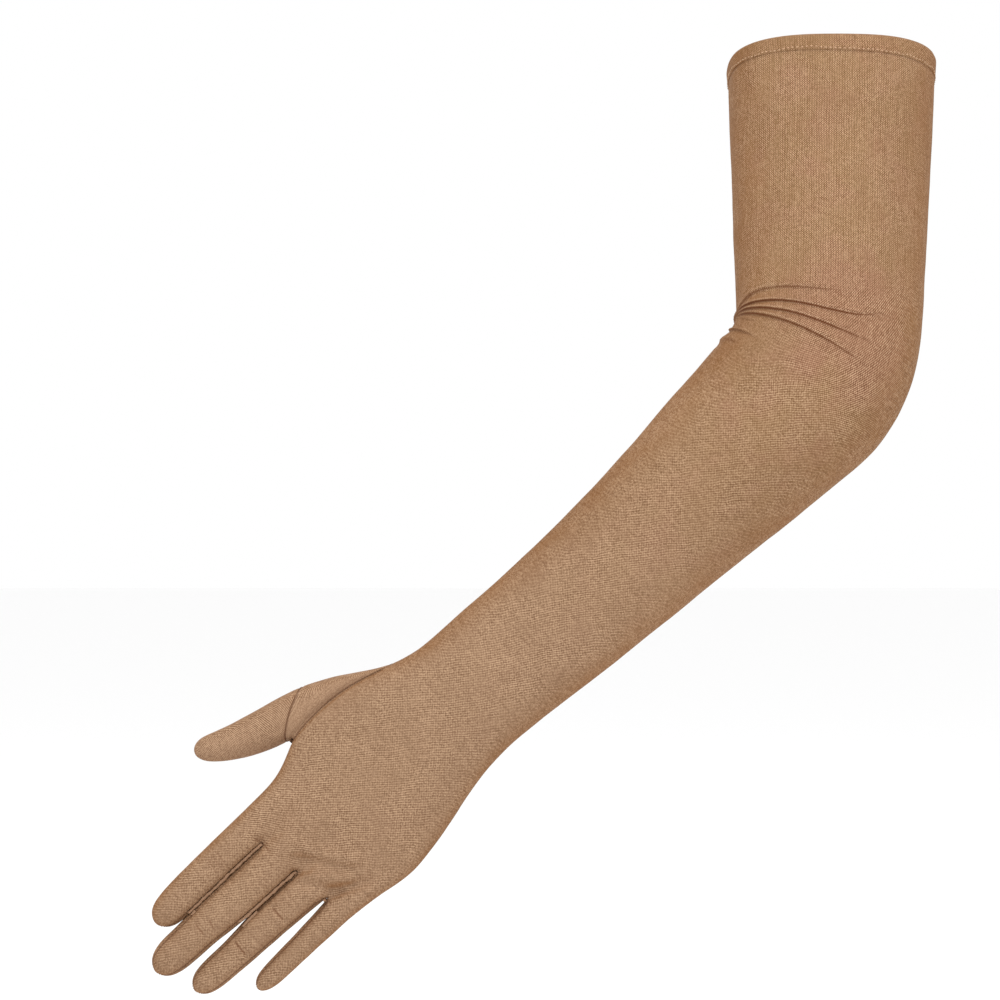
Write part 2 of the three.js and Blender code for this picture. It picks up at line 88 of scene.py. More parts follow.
# %% [markdown]
# The tables give the sections of each zone. The columns are named in the line above each table.

# %% Tables of sections
# at, narrowing, depth, square
UPPER_ARM_SECTIONS = [
    (HEM_HEIGHT / UPPER_ARM, 0, 0.93, 2.5),
    (0.25, 0.12, 0.93, 2.4),
    (0.42, 0.33, 0.93, 2.25),
    (0.6, 0.55, 0.94, 2.15),
    (0.78, 0.72, 0.95, 2.05),
    (0.92, 0.88, 0.96, 2),
]
# at, narrowing, depth, turn
FOREARM_SECTIONS = [
    (0.1, 0.13, 0.96, 0),
    (0.21, 0.27, 0.95, 0),
    (0.33, 0.45, 0.94, 0),
    (0.46, 0.62, 0.92, 0.8),
    (0.6, 0.76, 0.89, 1.8),
    (0.75, 0.88, 0.84, 2.5),
    (0.88, 0.96, 0.78, 5.5),
    (1, 1, 0.72, 5.5),
]
# at, radial, ulnar, depth, turn, knuckles, in the thumb's hole
HAND_SECTIONS = [
    (0, 0.352, 0.363, 1.4, 1.5, 0, False),
    (0.13, 0.407, 0.368, 1.26, 0, 0, True),
    (0.25, 0.468, 0.387, 1.14, 0, 0, True),
    (0.365, 0.5, 0.422, 1.06, 0, 0, True),
    (0.48, 0.515, 0.456, 1.01, 0, 0, True),
    (0.615, 0.508, 0.48, 0.98, 0, 0, True),
    (0.7, 0.458, 0.487, 0.96, 0, 0.08, False),
    (0.8, 0.41, 0.467, 0.92, 0, 0.25, False),
    (0.91, 0.418, 0.45, 0.82, 0, 0.6, False),
]
# name, width, depth, length, splay, taper, tip turn
FINGERS = [
    ("index", 0.247, 0.935, 0.767, 1, 0.94, -9),
    ("middle", 0.287, 0.897, 1, 2.4, 0.86, 0),
    ("ring", 0.261, 0.909, 0.94, 2.7, 0.77, 0),
    ("little", 0.205, 0.925, 0.69, 0, 0.7, 0),
]
# how far from the knuckles each finger is pressed to the next one
PRESSED = [46, 34, 0]
FINGER_RINGS = [0.1, 0.25, 0.4, 0.55, 0.7, 0.85, 1]
DOME_RINGS = [0.45, 0.75, 0.94]
# at, width
THUMB_RINGS = [(0.2, 0.9), (0.42, 0.75), (0.64, 0.63), (0.82, 0.54), (0.92, 0.43), (0.98, 0.24)]

# %% [markdown]
# ## A walk along the arm
#
# The pieces of a glove follow the arm, so the script walks down the arm as well. A place on that
# walk has a point and three directions: along the arm to the fingertips, across to the little
# finger's side, and out of the back of the hand. Rings of points are laid round each place.

# %% Places on the arm
def mix(a, b, share):
    return a + (b - a) * share


def ease(value, start, end):
    """Rises smoothly from 0 at start to 1 at end. It takes numbers and arrays."""
    share = np.clip((value - start) / (end - start), 0, 1)
    return share * share * (3 - 2 * share)


class Place:
    """A point on the walk, in millimetres. Heading turns from down towards -X, and pitch to -Y."""

    def __init__(self, origin, heading, pitch, walked=0.0):
        h, p = math.radians(heading), math.radians(pitch)
        self.origin = np.array(origin, float)
        self.heading, self.pitch, self.walked = heading, pitch, walked
        self.along = -np.array([math.sin(h) * math.cos(p), math.sin(p), math.cos(h) * math.cos(p)])
        self.side = np.array([math.cos(h), 0, -math.sin(h)])
        self.front = np.cross(self.along, self.side)

    def step(self, distance, heading, pitch):
        """Walks on by a distance, on an arc that ends at the new heading and pitch."""
        half_way = Place(self.origin, (self.heading + heading) / 2, (self.pitch + pitch) / 2)
        end = self.origin + distance * half_way.along
        return Place(end, heading, pitch, self.walked + distance)

    def points(self, side, front, along=0.0):
        """Points given by their distances along the three directions, as numbers or arrays."""
        side, front, along = np.broadcast_arrays(side, front, along)
        return self.origin + np.stack([side, front, along], -1) @ np.stack(
            [self.side, self.front, self.along]
        )

    def measure(self, points):
        """The distances of points along side, front and along."""
        return (points - self.origin) @ np.stack([self.side, self.front, self.along], 1)


# %% [markdown]
# ## Rings
#
# The back piece and the palm piece of the glove meet in two outer seams, which lie a little behind
# the outline of the arm. A ring has the same count of points all the way down the sleeve, four for
# each finger and one more at either seam, so that the fingers can grow out of the last ring. An
# oval with an exponent above 2 is fuller than an ellipse, as the flat rim of the opening is.

# %% Rings of points
FINGER_STEPS = 4
PANEL_STEPS = FINGER_STEPS * len(FINGERS) + 2
RING_STEPS = 2 * PANEL_STEPS
SEAM_BEHIND = 12
back_sweep = np.linspace(-SEAM_BEHIND, 180 + SEAM_BEHIND, PANEL_STEPS + 1)
palm_sweep = np.linspace(180 + SEAM_BEHIND, 360 - SEAM_BEHIND, PANEL_STEPS + 1)
STEP_ANGLES = np.radians(np.concatenate([back_sweep[:-1], palm_sweep[:-1]]))


def swell(steps):
    """How much a ring has to grow so that it still has its size after it is smoothed."""
    return 3 / (2 + math.cos(2 * math.pi / steps))


def oval(place, radial, ulnar, half_depth, square=2):
    def rounded(value):
        return np.sign(value) * np.abs(value) ** (2 / square)

    across = -rounded(np.cos(STEP_ANGLES))
    grow = swell(RING_STEPS)
    side = across * np.where(across < 0, radial, ulnar) * grow
    return place.points(side, half_depth * rounded(np.sin(STEP_ANGLES)) * grow)


def circle(place, half_width, half_depth, steps, first=0.0, fuller=(0.0, 0.0)):
    """A round section. It can be fuller on its near side and on its far side, in millimetres."""
    angle = first + 2 * np.pi * np.arange(steps) / steps
    grow = swell(steps)
    side = -np.cos(angle)
    side = side * (half_width + np.where(side < 0, *fuller))
    return place.points(side * grow, half_depth * grow * np.sin(angle))


print("a sleeve ring has", RING_STEPS, "points, and its first angle is", -SEAM_BEHIND, "degrees")

# %% [markdown]
# ## The skin
#
# The whole glove is first one skin of four-sided faces, because cloth that runs over a seam still
# lies on the same hand. Each face knows which cut piece it belongs to, and where it lies on the
# flat cloth: `weave` holds the distances across and along the grain. The grain runs down the
# middle of the back piece, through the fingers, as it does on cloth that is cut flat.

# %% The skin and its faces
PIECES = ["hem_band", "back_panel", "palm_panel", "thumb_gusset", "thumb"]
FOURCHETTES = [f"fourchette_{a[0]}_{b[0]}" for a, b in zip(FINGERS, FINGERS[1:])]
PIECES += FOURCHETTES


class Skin:
    def __init__(self):
        self.points, self.faces, self.pieces, self.weave, self.place = [], [], [], [], []

    def add(self, points):
        start = len(self.points)
        self.points.extend(points)
        return list(range(start, len(self.points)))

    def band(self, ring_a, ring_b, piece_at, lines_a, lines_b):
        """Joins two rings with faces. Lines give the cloth at each step: start, end and along."""
        count = len(ring_a)
        for step in range(count):
            piece = piece_at(step)
            if piece is None:
                continue
            after = (step + 1) % count
            self.faces.append([ring_a[step], ring_b[step], ring_b[after], ring_a[after]])
            self.pieces.append(PIECES.index(piece))
            corners = [(lines_a, 0), (lines_b, 0), (lines_b, 1), (lines_a, 1)]
            self.weave.append([(line[end][step], line[2 + end][step]) for line, end in corners])
            self.place.append([(line[2 + end][step], step + end) for line, end in corners])

    def tip(self, ring, tip, piece_at, lines, along):
        for step in range(len(ring)):
            after = (step + 1) % len(ring)
            self.faces.append([ring[step], tip, ring[after]])
            self.pieces.append(PIECES.index(piece_at(step)))
            middle = (lines[0][step] + lines[1][step]) / 2
            corners = [(lines[0][step], lines[2][step]), (middle, along)]
            corners.append((lines[1][step], lines[3][step]))
            self.weave.append(corners)
            start, end = (lines[2][step], step), (lines[3][step], step + 1)
            self.place.append([start, (along, step + 0.5), end])


def cloth_lines(points, middles, along, shift=0.0):
    """For each step of a closed ring: its start and end across the cloth, measured from a middle
    point, and the distance along the cloth at both."""
    points = np.asarray(points)
    lengths = np.linalg.norm(np.roll(points, -1, 0) - points, axis=1)
    reached = np.concatenate([[0], np.cumsum(lengths)])
    zero = reached[np.asarray(middles)] - shift
    along = np.broadcast_to(along, len(points))
    return reached[:-1] - zero, reached[1:] - zero, along, np.roll(along, -1)


skin = Skin()
print("the glove is cut in", len(PIECES), "pieces")

# %% [markdown]
# ## Sleeve and elbow
#
# From the hem the sleeve narrows to the elbow, where its rings fan out round the crook of the arm,
# and then to the wrist. In the CAD model the folds of the elbow are part of these rings. Here the
# rings stay smooth, and the folds follow once there are enough points to draw them finely.

# %% Rows of the sleeve
rows = []
sleeve_middles = np.where(np.arange(RING_STEPS) < PANEL_STEPS, PANEL_STEPS // 2, 3 * PANEL_STEPS // 2)


def add_row(points, place, hole=False, skew=0.0):
    lines = cloth_lines(points, sleeve_middles, place.walked + skew)
    rows.append({"ring": skin.add(points), "lines": lines, "place": place, "hole": hole})


here = Place([0, 0, 0], 0, ARM_TILT)
depth = UPPER_ARM_SECTIONS[0][2] * OPENING_WIDTH / 2
add_row(oval(here, OPENING_WIDTH / 2, OPENING_WIDTH / 2, depth, OPENING_SQUARE), here)
for at, narrowing, depth, square in UPPER_ARM_SECTIONS:
    here = here.step(at * UPPER_ARM - here.walked, ARM_LEAN, ARM_TILT)
    half = mix(BICEP_WIDTH, ELBOW_WIDTH, narrowing) / 2
    add_row(oval(here, half, half, depth * half, square), here)
here = here.step(UPPER_ARM - here.walked, ARM_LEAN, ARM_TILT)

ELBOW_ROWS = 8
ELBOW_LENGTH = (ELBOW_WIDTH / 2 + CROOK_RADIUS) * math.radians(ELBOW_BEND - ARM_LEAN)
for row in range(ELBOW_ROWS + 1):
    share = row / ELBOW_ROWS
    if row:
        pitch = mix(ARM_TILT, FOREARM_PITCH, ease(share, 0, 1))
        here = here.step(ELBOW_LENGTH / ELBOW_ROWS, mix(ARM_LEAN, ELBOW_BEND, share), pitch)
    half = ELBOW_WIDTH / 2
    bulge = ELBOW_BULGE * math.sin(math.pi * share) * share
    add_row(oval(here, half, half + bulge, ELBOW_DEPTH * half), here)

elbow_end = here.walked
for at, narrowing, depth, turn in FOREARM_SECTIONS:
    here = here.step(elbow_end + at * FOREARM - here.walked, ELBOW_BEND + turn, FOREARM_PITCH)
    half = mix(ELBOW_WIDTH, WRIST_WIDTH, narrowing) / 2
    add_row(oval(here, half, half, depth * half), here)
here = here.step(WRIST, ELBOW_BEND + HAND_SECTIONS[0][4], FOREARM_PITCH)
print("rows of the sleeve:", len(rows), "down to", round(here.walked), "mm")

# %% [markdown]
# ## Hand
#
# Over the hand the oval gives way to the sections of the four fingers, side by side, with a hollow
# between them. The knuckles run a little aslant, because the index finger starts further down
# than the little finger does.

# %% Rows of the hand and the knuckles
ACROSS_FINGER = np.array([-1, -0.56, 0, 0.56, 1])
ABOVE_FINGER = np.array([0.5, 0.87, 1, 0.87, 0.5])
OUTER_REACH = 0.87
finger_widths = [width * KNUCKLE_WIDTH for _, width, *_ in FINGERS]
finger_depths = [depth * width * KNUCKLE_WIDTH for _, width, depth, *_ in FINGERS]
finger_edges = np.concatenate([[0], np.cumsum(finger_widths)]) - sum(finger_widths) / 2


def skew_at(side):
    return -np.asarray(side) * math.tan(math.radians(KNUCKLE_SKEW))


def knuckle_section(half_depths):
    """Side and front of every step of the ring on the fingers' own sections."""
    side, front = np.zeros(RING_STEPS), np.zeros(RING_STEPS)
    side[0], side[PANEL_STEPS] = finger_edges[0], finger_edges[-1]
    last = FINGER_STEPS * len(FINGERS)
    for spot in range(last + 1):
        index = min(spot // FINGER_STEPS, len(FINGERS) - 1)
        within = spot - index * FINGER_STEPS
        half = finger_widths[index] / 2
        reach = OUTER_REACH if spot in (0, last) else 1
        for step, sign in ((spot + 1, 1), (RING_STEPS - 1 - spot, -1)):
            side[step] = finger_edges[index] + half + half * ACROSS_FINGER[within] * reach
            front[step] = sign * half_depths[index] * ABOVE_FINGER[within]
    return side, front


hand_heading = ELBOW_BEND + PALM_TURN
hand_start = here.walked
for at, radial, ulnar, depth, turn, knuckles, hole in HAND_SECTIONS:
    pitch = mix(FOREARM_PITCH, 0, at)
    here = here.step(hand_start + at * PALM_LENGTH - here.walked, hand_heading + turn, pitch)
    half_depth = depth * PALM_DEPTH / 2
    points = oval(here, radial * PALM_WIDTH, ulnar * PALM_WIDTH, half_depth, PALM_SQUARE)
    side, front = knuckle_section([half_depth] * len(FINGERS))
    points = mix(points, here.points(side, front, skew_at(side)), knuckles)
    add_row(points, here, hole, knuckles * skew_at(side))

here = here.step(hand_start + PALM_LENGTH - here.walked, hand_heading, 0)
knuckle_place = here
side, front = knuckle_section([KNUCKLE_SWELL * depth / 2 for depth in finger_depths])
add_row(here.points(side, front, skew_at(side)), here, skew=skew_at(side))
knuckle_row = rows[-1]

# %% Bands of the sleeve and hand, with the thumb's hole left open
HOLE_BACK, HOLE_PALM = 1, RING_STEPS - 3


def panel_at(step):
    return "back_panel" if step < PANEL_STEPS else "palm_panel"


for number, (upper, lower) in enumerate(zip(rows, rows[1:])):
    cut = upper["hole"] and lower["hole"]

    def piece_at(step, number=number, cut=cut):
        if number == 0:
            return "hem_band"
        return None if cut and (step < HOLE_BACK or step >= HOLE_PALM) else panel_at(step)

    skin.band(upper["ring"], lower["ring"], piece_at, upper["lines"], lower["lines"])
print("faces of the sleeve and hand:", len(skin.faces))

# %% [markdown]
# ## Fingers
#
# Each finger is a tube of twelve steps with a round end. The back piece and the palm piece run out
# along it, and its two flanks are covered by fourchettes, the narrow side strips of a dress glove.
# A fourchette runs up the flank of one finger, through the crotch and down the flank of the next.

# %% Fingers
FINGER_RING = 2 * (FINGER_STEPS + 2)
creased = []
ring_points = np.array(skin.points)
crotches = []
for index in range(len(FOURCHETTES)):
    back = knuckle_row["ring"][1 + FINGER_STEPS * (index + 1)]
    palm = knuckle_row["ring"][RING_STEPS - 1 - FINGER_STEPS * (index + 1)]
    (middle,) = skin.add([(ring_points[back] + ring_points[palm]) / 2])
    crotches.append(middle)
    creased += [(back, middle), (middle, palm)]


def finger_root(index):
    first = 1 + FINGER_STEPS * index
    palm_first = RING_STEPS - first - FINGER_STEPS
    ring = knuckle_row["ring"]
    near = ring[0] if index == 0 else crotches[index - 1]
    far = ring[PANEL_STEPS] if index == len(FINGERS) - 1 else crotches[index]
    over, under = (ring[at : at + FINGER_STEPS + 1] for at in (first, palm_first))
    return [near, *over, far, *under]


def finger_pieces(index):
    outside = ["back_panel", "palm_panel"]
    near = outside if index == 0 else [FOURCHETTES[index - 1]] * 2
    far = outside if index == len(FINGERS) - 1 else [FOURCHETTES[index]] * 2
    return [near[0], *["back_panel"] * 4, *far, *["palm_panel"] * 4, near[1]]


def finger_lines(points, along, shifts):
    """Across the cloth from the middle of the back, of the palm or of a flank, whichever the step
    lies on. Back and palm are shifted to the finger's own place on the cloth."""
    middles = FINGER_RING // 4, 3 * FINGER_RING // 4
    halves = (
        cloth_lines(points, [middle] * FINGER_RING, along, shift)
        for middle, shift in zip(middles, shifts)
    )
    on_back = np.arange(FINGER_RING) < FINGER_RING // 2
    return tuple(np.where(on_back, back, palm) for back, palm in zip(*halves))


def pressed_out(crotch, reach):
    """How much fuller two neighbours are, each on the side where they are pressed together."""
    if not 0 <= crotch < len(PRESSED) or not PRESSED[crotch]:
        return 0.0
    gap = FINGER_GAP - reach * math.radians(FINGERS[crotch + 1][4] - FINGERS[crotch][4])
    for index in (crotch, crotch + 1):
        share = reach / (FINGERS[index][3] * LONGEST_FINGER)
        gap += finger_widths[index] / 2 * (1 - mix(1, FINGERS[index][5], share))
    held = 1 - float(ease(reach, PRESSED[crotch] - 6, PRESSED[crotch] + 12))
    return max(gap + 0.5, 0) / 2 * held


for index, (name, width, depth, length, splay, taper, tip_turn) in enumerate(FINGERS):
    width, depth, length = finger_widths[index], finger_depths[index], length * LONGEST_FINGER
    pieces = finger_pieces(index)
    ring = finger_root(index)
    all_points = np.array(skin.points)
    centre = finger_edges[index] + width / 2
    back_middle = 1 + FINGER_STEPS * index + FINGER_STEPS // 2
    shifts = (
        knuckle_row["lines"][0][back_middle],
        knuckle_row["lines"][0][RING_STEPS - back_middle],
    )
    root_sides = knuckle_place.measure(all_points[ring])
    lines = finger_lines(all_points[ring], knuckle_place.walked + root_sides[:, 2], shifts)

    def heading(share, splay=splay, tip_turn=tip_turn):
        return hand_heading + splay + tip_turn * float(ease(share, TIP_TURN_FROM, 1))

    skew = float(skew_at(centre))
    start = knuckle_place.walked + skew
    place = Place(knuckle_place.points(centre, 0, skew), heading(0), 0, start)
    dome = TIP_ROUND * width
    stops = [(at * (length - dome), 1) for at in FINGER_RINGS]
    stops += [(length - dome + at * dome, math.sqrt(1 - at * at)) for at in DOME_RINGS]
    for reach, roundness in stops:
        share = reach / length
        place = place.step(start + reach - place.walked, heading(share), -FINGER_CURL * share)
        half_width = roundness * (width - FINGER_GAP) / 2 * mix(1, taper, share)
        half_depth = roundness * depth / 2 * mix(ROOT_SWELL, taper, share)
        fuller = pressed_out(index - 1, reach), pressed_out(index, reach)
        points = circle(place, half_width, half_depth, len(ring), fuller=fuller)
        after = skin.add(points)
        lines_after = finger_lines(points, place.walked, shifts)
        skin.band(ring, after, pieces.__getitem__, lines, lines_after)
        ring, lines = after, lines_after
    place = place.step(start + length - place.walked, heading(1), -FINGER_CURL)
    (tip,) = skin.add([place.origin])
    skin.tip(ring, tip, pieces.__getitem__, lines, place.walked)
print("faces with the fingers:", len(skin.faces))

# %% [markdown]
# ## Thumb
#
# The thumb is a tube of its own. It is sewn to a gusset, and the gusset to the edge of a hole in
# the side of the hand, which gives the thumb room to move without straining the cloth. The seam
# between gusset and thumb leans over the root of the thumb.

# %% Thumb and gusset
hole_rows = [row for row in rows if row["hole"]]
hole_steps = [(HOLE_BACK - k) % RING_STEPS for k in range(RING_STEPS - HOLE_PALM + HOLE_BACK + 1)]
hole_loop = [row["ring"][HOLE_BACK] for row in hole_rows[:-1]]
hole_loop += [hole_rows[-1]["ring"][step] for step in hole_steps[:-1]]
hole_loop += [row["ring"][HOLE_PALM] for row in hole_rows[:0:-1]]
hole_loop += [hole_rows[0]["ring"][step] for step in hole_steps[:0:-1]]


def thumb_heading(share):
    return hand_heading + THUMB_SPREAD + THUMB_CURVE * share**2


def leaned_ring(place, lean, width):
    leaned = Place(place.origin, place.heading + lean, place.pitch)
    half_width, half_depth = width * THUMB_WIDTH / 2, width * THUMB_DEPTH / 2
    return circle(leaned, half_width, half_depth, len(hole_loop), math.pi / 4)


hole_points = np.array(skin.points)[hole_loop]
crotch_row = hole_rows[-1]
place = Place(skin.points[crotch_row["ring"][0]], thumb_heading(0), THUMB_PITCH)
seam_side = Place(place.origin, place.heading + SEAM_LEAN, THUMB_PITCH).side
place.origin += THUMB_WEB * place.along - THUMB_WIDTH / 2 * seam_side
place.origin -= THUMB_SINK * crotch_row["place"].front
seam_points = leaned_ring(place, SEAM_LEAN, 1)
hole_centre = hole_points.mean(0)
reach = float(np.linalg.norm(place.origin - hole_centre))
thumb_middles = [len(hole_loop) // 4] * len(hole_loop)
THUMB_CLOTH = 600
ring, lines = hole_loop, cloth_lines(hole_points, thumb_middles, THUMB_CLOTH)
for row in range(1, GUSSET_ROWS + 1):
    share = row / GUSSET_ROWS
    points = mix(hole_points, seam_points, share)
    outwards = points - mix(hole_centre, place.origin, share)
    outwards /= np.linalg.norm(outwards, axis=1, keepdims=True)
    points = points + outwards * GUSSET_BULGE * math.sin(math.pi * share)
    after = skin.add(points)
    lines_after = cloth_lines(points, thumb_middles, THUMB_CLOTH + share * reach)
    skin.band(ring, after, lambda step: "thumb_gusset", lines, lines_after)
    ring, lines = after, lines_after

for at, width in THUMB_RINGS:
    place = place.step(at * THUMB_LENGTH - place.walked, thumb_heading(at), THUMB_PITCH)
    points = leaned_ring(place, SEAM_LEAN * (1 - float(ease(at, 0, LEAN_END))), width)
    after = skin.add(points)
    lines_after = cloth_lines(points, thumb_middles, THUMB_CLOTH + reach + place.walked)
    skin.band(ring, after, lambda step: "thumb", lines, lines_after)
    ring, lines = after, lines_after
place = place.step(THUMB_LENGTH - place.walked, thumb_heading(1), THUMB_PITCH)
(tip,) = skin.add([place.origin])
thumb_end = THUMB_CLOTH + reach + THUMB_LENGTH
skin.tip(ring, tip, lambda step: "thumb", lines, thumb_end)
print("faces of the whole skin:", len(skin.faces), "points:", len(skin.points))

# %% [markdown]
# ## Smoothing the skin
#
# A Subdivision Surface modifier turns the coarse skin into a smooth one. Three levels give points
# about a millimetre apart, which is fine enough for the folds of thin cloth. The modifier carries
# the two maps and the number of the piece along, so nothing has to be worked out twice.

# %% Smooth skin
LEVELS = 3


def mesh_from(name, points, faces, edges=()):
    mesh = bpy.data.meshes.new(name)
    mesh.from_pydata([tuple(p) for p in np.asarray(points) * MM], edges, faces)
    return mesh


def put(name, data):
    """Puts a mesh, a lamp or a camera into the scene as an object."""
    made = bpy.data.objects.new(name, data)
    bpy.context.scene.collection.objects.link(made)
    return made


cage_mesh = mesh_from("glove_cage", skin.points, skin.faces)
for piece in PIECES:
    cage_mesh.materials.append(bpy.data.materials.new(f"mark_{piece}"))
cage_mesh.polygons.foreach_set("material_index", skin.pieces)
for layer, corners in (("weave", skin.weave), ("place", skin.place)):
    values = np.array([xy for face in corners for xy in face], np.float32) * MM
    cage_mesh.uv_layers.new(name=layer).data.foreach_set("uv", values.ravel())
hem_ring = rows[1]["ring"]
sharp = {frozenset(pair): 0.6 for pair in creased}
sharp.update({frozenset(pair): 1.0 for pair in zip(hem_ring, hem_ring[1:] + hem_ring[:1])})
crease = cage_mesh.attributes.new("crease_edge", "FLOAT", "EDGE")
for edge in cage_mesh.edges:
    crease.data[edge.index].value = sharp.get(frozenset(edge.vertices), 0.0)
cage = put("glove_cage", cage_mesh)
smooth = cage.modifiers.new("Smooth", "SUBSURF")
smooth.levels = smooth.render_levels = LEVELS
fine = bpy.data.meshes.new_from_object(cage.evaluated_get(bpy.context.evaluated_depsgraph_get()))


def read(collection, name, width, kind=np.float32):
    values = np.zeros(len(collection) * width, kind)
    collection.foreach_get(name, values)
    return values.reshape(-1, width) if width > 1 else values


surface = read(fine.vertices, "co", 3).astype(float) / MM
quads = read(fine.loops, "vertex_index", 1, np.int32).reshape(-1, 4)
face_piece = read(fine.polygons, "material_index", 1, np.int32)
corner_weave = read(fine.uv_layers["weave"].data, "uv", 2).reshape(-1, 4, 2)
corner_place = read(fine.uv_layers["place"].data, "uv", 2).reshape(-1, 4, 2) / MM
bpy.data.objects.remove(cage)
print("smooth skin:", len(surface), "points,", len(quads), "faces")

# %% Directions out of the skin
def directions(points):
    a, b, c, d = (points[quads[:, k]] for k in range(4))
    across = np.cross(c - a, d - b)
    out = np.zeros_like(points)
    for k in range(4):
        np.add.at(out, quads[:, k], across)
    return out / np.maximum(np.linalg.norm(out, axis=1, keepdims=True), 1e-9)


normal = directions(surface)
walked, step_at = np.zeros(len(surface)), np.zeros(len(surface))
walked[quads.ravel()] = corner_place.reshape(-1, 2)[:, 0]
step_at[quads.ravel()] = corner_place.reshape(-1, 2)[:, 1]
on_piece = {piece: np.zeros(len(surface), bool) for piece in PIECES}
for number, piece in enumerate(PIECES):
    on_piece[piece][quads[face_piece == number].ravel()] = True
on_sleeve = (on_piece["back_panel"] | on_piece["palm_panel"]) & (walked < knuckle_place.walked + 1)
print("points on the back piece:", int(on_piece["back_panel"].sum()))

# %% [markdown]
# ## Folds of the elbow
#
# Where the arm bends, the spare cloth gathers in the crook and leaves it in a fan of thin folds.
# Each fold starts in the same pinch, bows up, and fades out before it reaches the back of the
# elbow. The folds lie over each other like shingles: each one swells slowly towards its lower
# side and drops there, and the shade in that drop is painted on as a thin dark line.
#
# Such a line of painted shade is finer than the points of the skin. Every point stores how far it
# lies off the nearest line, with a sign, and the material paints the shade where that distance
# passes zero. Two neighbouring lines go to different sheets, so that a point can serve both.

# %% Painted shade lines on the skin
class ShadeLineSheet:
    """How far every point lies off the nearest line of painted shade, in widths of the line, and its
    strength.
    """

    def __init__(self, count):
        self.off, self.strength = np.full(count, 4.0), np.zeros(count)

    def add(self, off, strength):
        nearer = (np.abs(off) < np.abs(self.off)) & (strength > 0.02)
        self.off[nearer] = off[nearer]
        self.strength[nearer] = strength[nearer]

    def channels(self):
        return [np.clip(self.off, -4, 4), np.clip(self.strength, 0, 1) * (np.abs(self.off) < 3.9)]


shade_line_sheets = [ShadeLineSheet(len(surface)), ShadeLineSheet(len(surface))]
print("sheets of lines:", len(shade_line_sheets))

# %% Folds of the elbow
# share of the bend at 10, 30, 65 and 105 degrees round from the crook; reach, in degrees;
# height and width, in mm
ELBOW_FOLDS = [
    (0.1, -0.04, -0.02, -0.01, 106, 1.05, 3),
    (0.19, 0.13, 0.175, 0.2, 134, 1.25, 3.2),
    (0.24, 0.245, 0.305, 0.36, 124, 1.25, 3),
    (0.3, 0.345, 0.42, 0.5, 125, 1.2, 3),
    (0.4, 0.47, 0.5, 0.5, 40, 0.5, 2),
    (0.8, 0.75, 0.75, 0.75, 46, 0.9, 2.4),
    (1.05, 1, 1, 1, 34, 0.9, 2.2),
]
FOLD_KNOTS = [10, 30, 65, 105]
angle = np.where(
    step_at <= PANEL_STEPS,
    mix(-SEAM_BEHIND, 180 + SEAM_BEHIND, step_at / PANEL_STEPS),
    mix(180 + SEAM_BEHIND, 360 - SEAM_BEHIND, step_at / PANEL_STEPS - 1),
)
angle = (angle + 180) % 360 - 180
from_crook = np.abs(angle)
bend_share = (walked - UPPER_ARM) / ELBOW_LENGTH
arc = CROOK_RADIUS + ELBOW_WIDTH / 2 * (1 - np.cos(np.radians(from_crook)))
fold_lift = np.zeros(len(surface))
on_palm_side = 0.05 * (angle < 0) * ease(from_crook, 0, 40)
for number, (*knots, reach, height, width) in enumerate(ELBOW_FOLDS):
    curve = np.polyfit(FOLD_KNOTS, knots, 3)
    line = np.polyval(curve, np.clip(from_crook, 4, 116)) + on_palm_side
    offset = (bend_share - line) * math.radians(ELBOW_BEND - ARM_LEAN) * arc
    strength = 1 - ease(from_crook, 0.62 * reach, reach)
    upper_side = width * mix(0.4, 1.2, ease(from_crook, 0, 60))
    ridge = np.exp(-((offset / np.where(offset < 0, upper_side, 0.42)) ** 2))
    groove = np.exp(-(((offset - 0.7) / 0.5) ** 2))
    if number < 5:
        strength = strength * mix(0.3, 1, ease(from_crook, 0, 32))
    fold_lift += height * strength * (ridge - 0.35 * groove)
    # The thin dark line where each fold drops is painted shade.
    drawn_shade = (1 - ease(from_crook, 0.68 * reach, reach)) * mix(0.4, 1, ease(from_crook, 2, 20))
    shade_line_sheets[number % 2].add((offset - 0.3) / 0.29, drawn_shade * (height / 1.25) ** 3 * on_sleeve)
fold_lift[~on_sleeve] = 0
print("elbow folds:", len(ELBOW_FOLDS), "highest", round(float(fold_lift.max()), 2), "mm")

# %% [markdown]
# ## Creases of the hand
#
# The cloth also wrinkles where the fingers bend and where the hand is broad: short tucks across the
# fingers, and long soft ridges that run from the crotches over the knuckles. They are listed by
# where they start and end on the hand, across it and along it from the knuckles.

# %% Creases of the hand
# start across, start along, end across, end along, height, width; a minus sign makes a groove
HAND_CREASES = [
    (-17.5, 0, -15, -9, -0.5, 1.6),
    (-22, 1.6, -12.5, 0.8, -0.6, 0.9),
    (2, 0, 5.5, -5, -1, 1.4),
    (-5.5, -8.6, 16.6, -23.3, 1.2, 2.8),
    (-3, -4.5, 18, -19, -1.05, 2.2),
    (5.5, -3, 20.8, -15, 1.05, 2),
    (9, 0.5, 21, -8, -0.8, 1.8),
    (19, -5, 28.7, -22.2, -0.9, 2.4),
    (23, -4, 31, -18, 0.65, 2.2),
    (5.5, 17.6, 13.5, 18.2, -0.7, 0.9),
    (5.5, 19.3, 13.5, 20, 0.35, 1),
    (4.2, 40.3, 12.8, 41, -0.75, 0.9),
    (4.2, 42.1, 12.8, 42.7, 0.35, 1),
    (-13.5, 47, -7, 47.6, -0.6, 1),
    (-13.5, 49, -8, 49.4, 0.3, 1.1),
    (-10.5, 41, -4.5, 43.2, -0.45, 1),
    (-29, 17.6, -20.5, 19, -0.25, 0.9),
    (-29.5, 20, -21, 21.6, -0.2, 0.9),
    (-29, 22.6, -22, 24.4, -0.2, 0.9),
    (-30, 37.5, -24, 39, -0.3, 1.1),
]
hand_side, hand_front, hand_along = knuckle_place.measure(surface).T
crease_lift = np.zeros(len(surface))
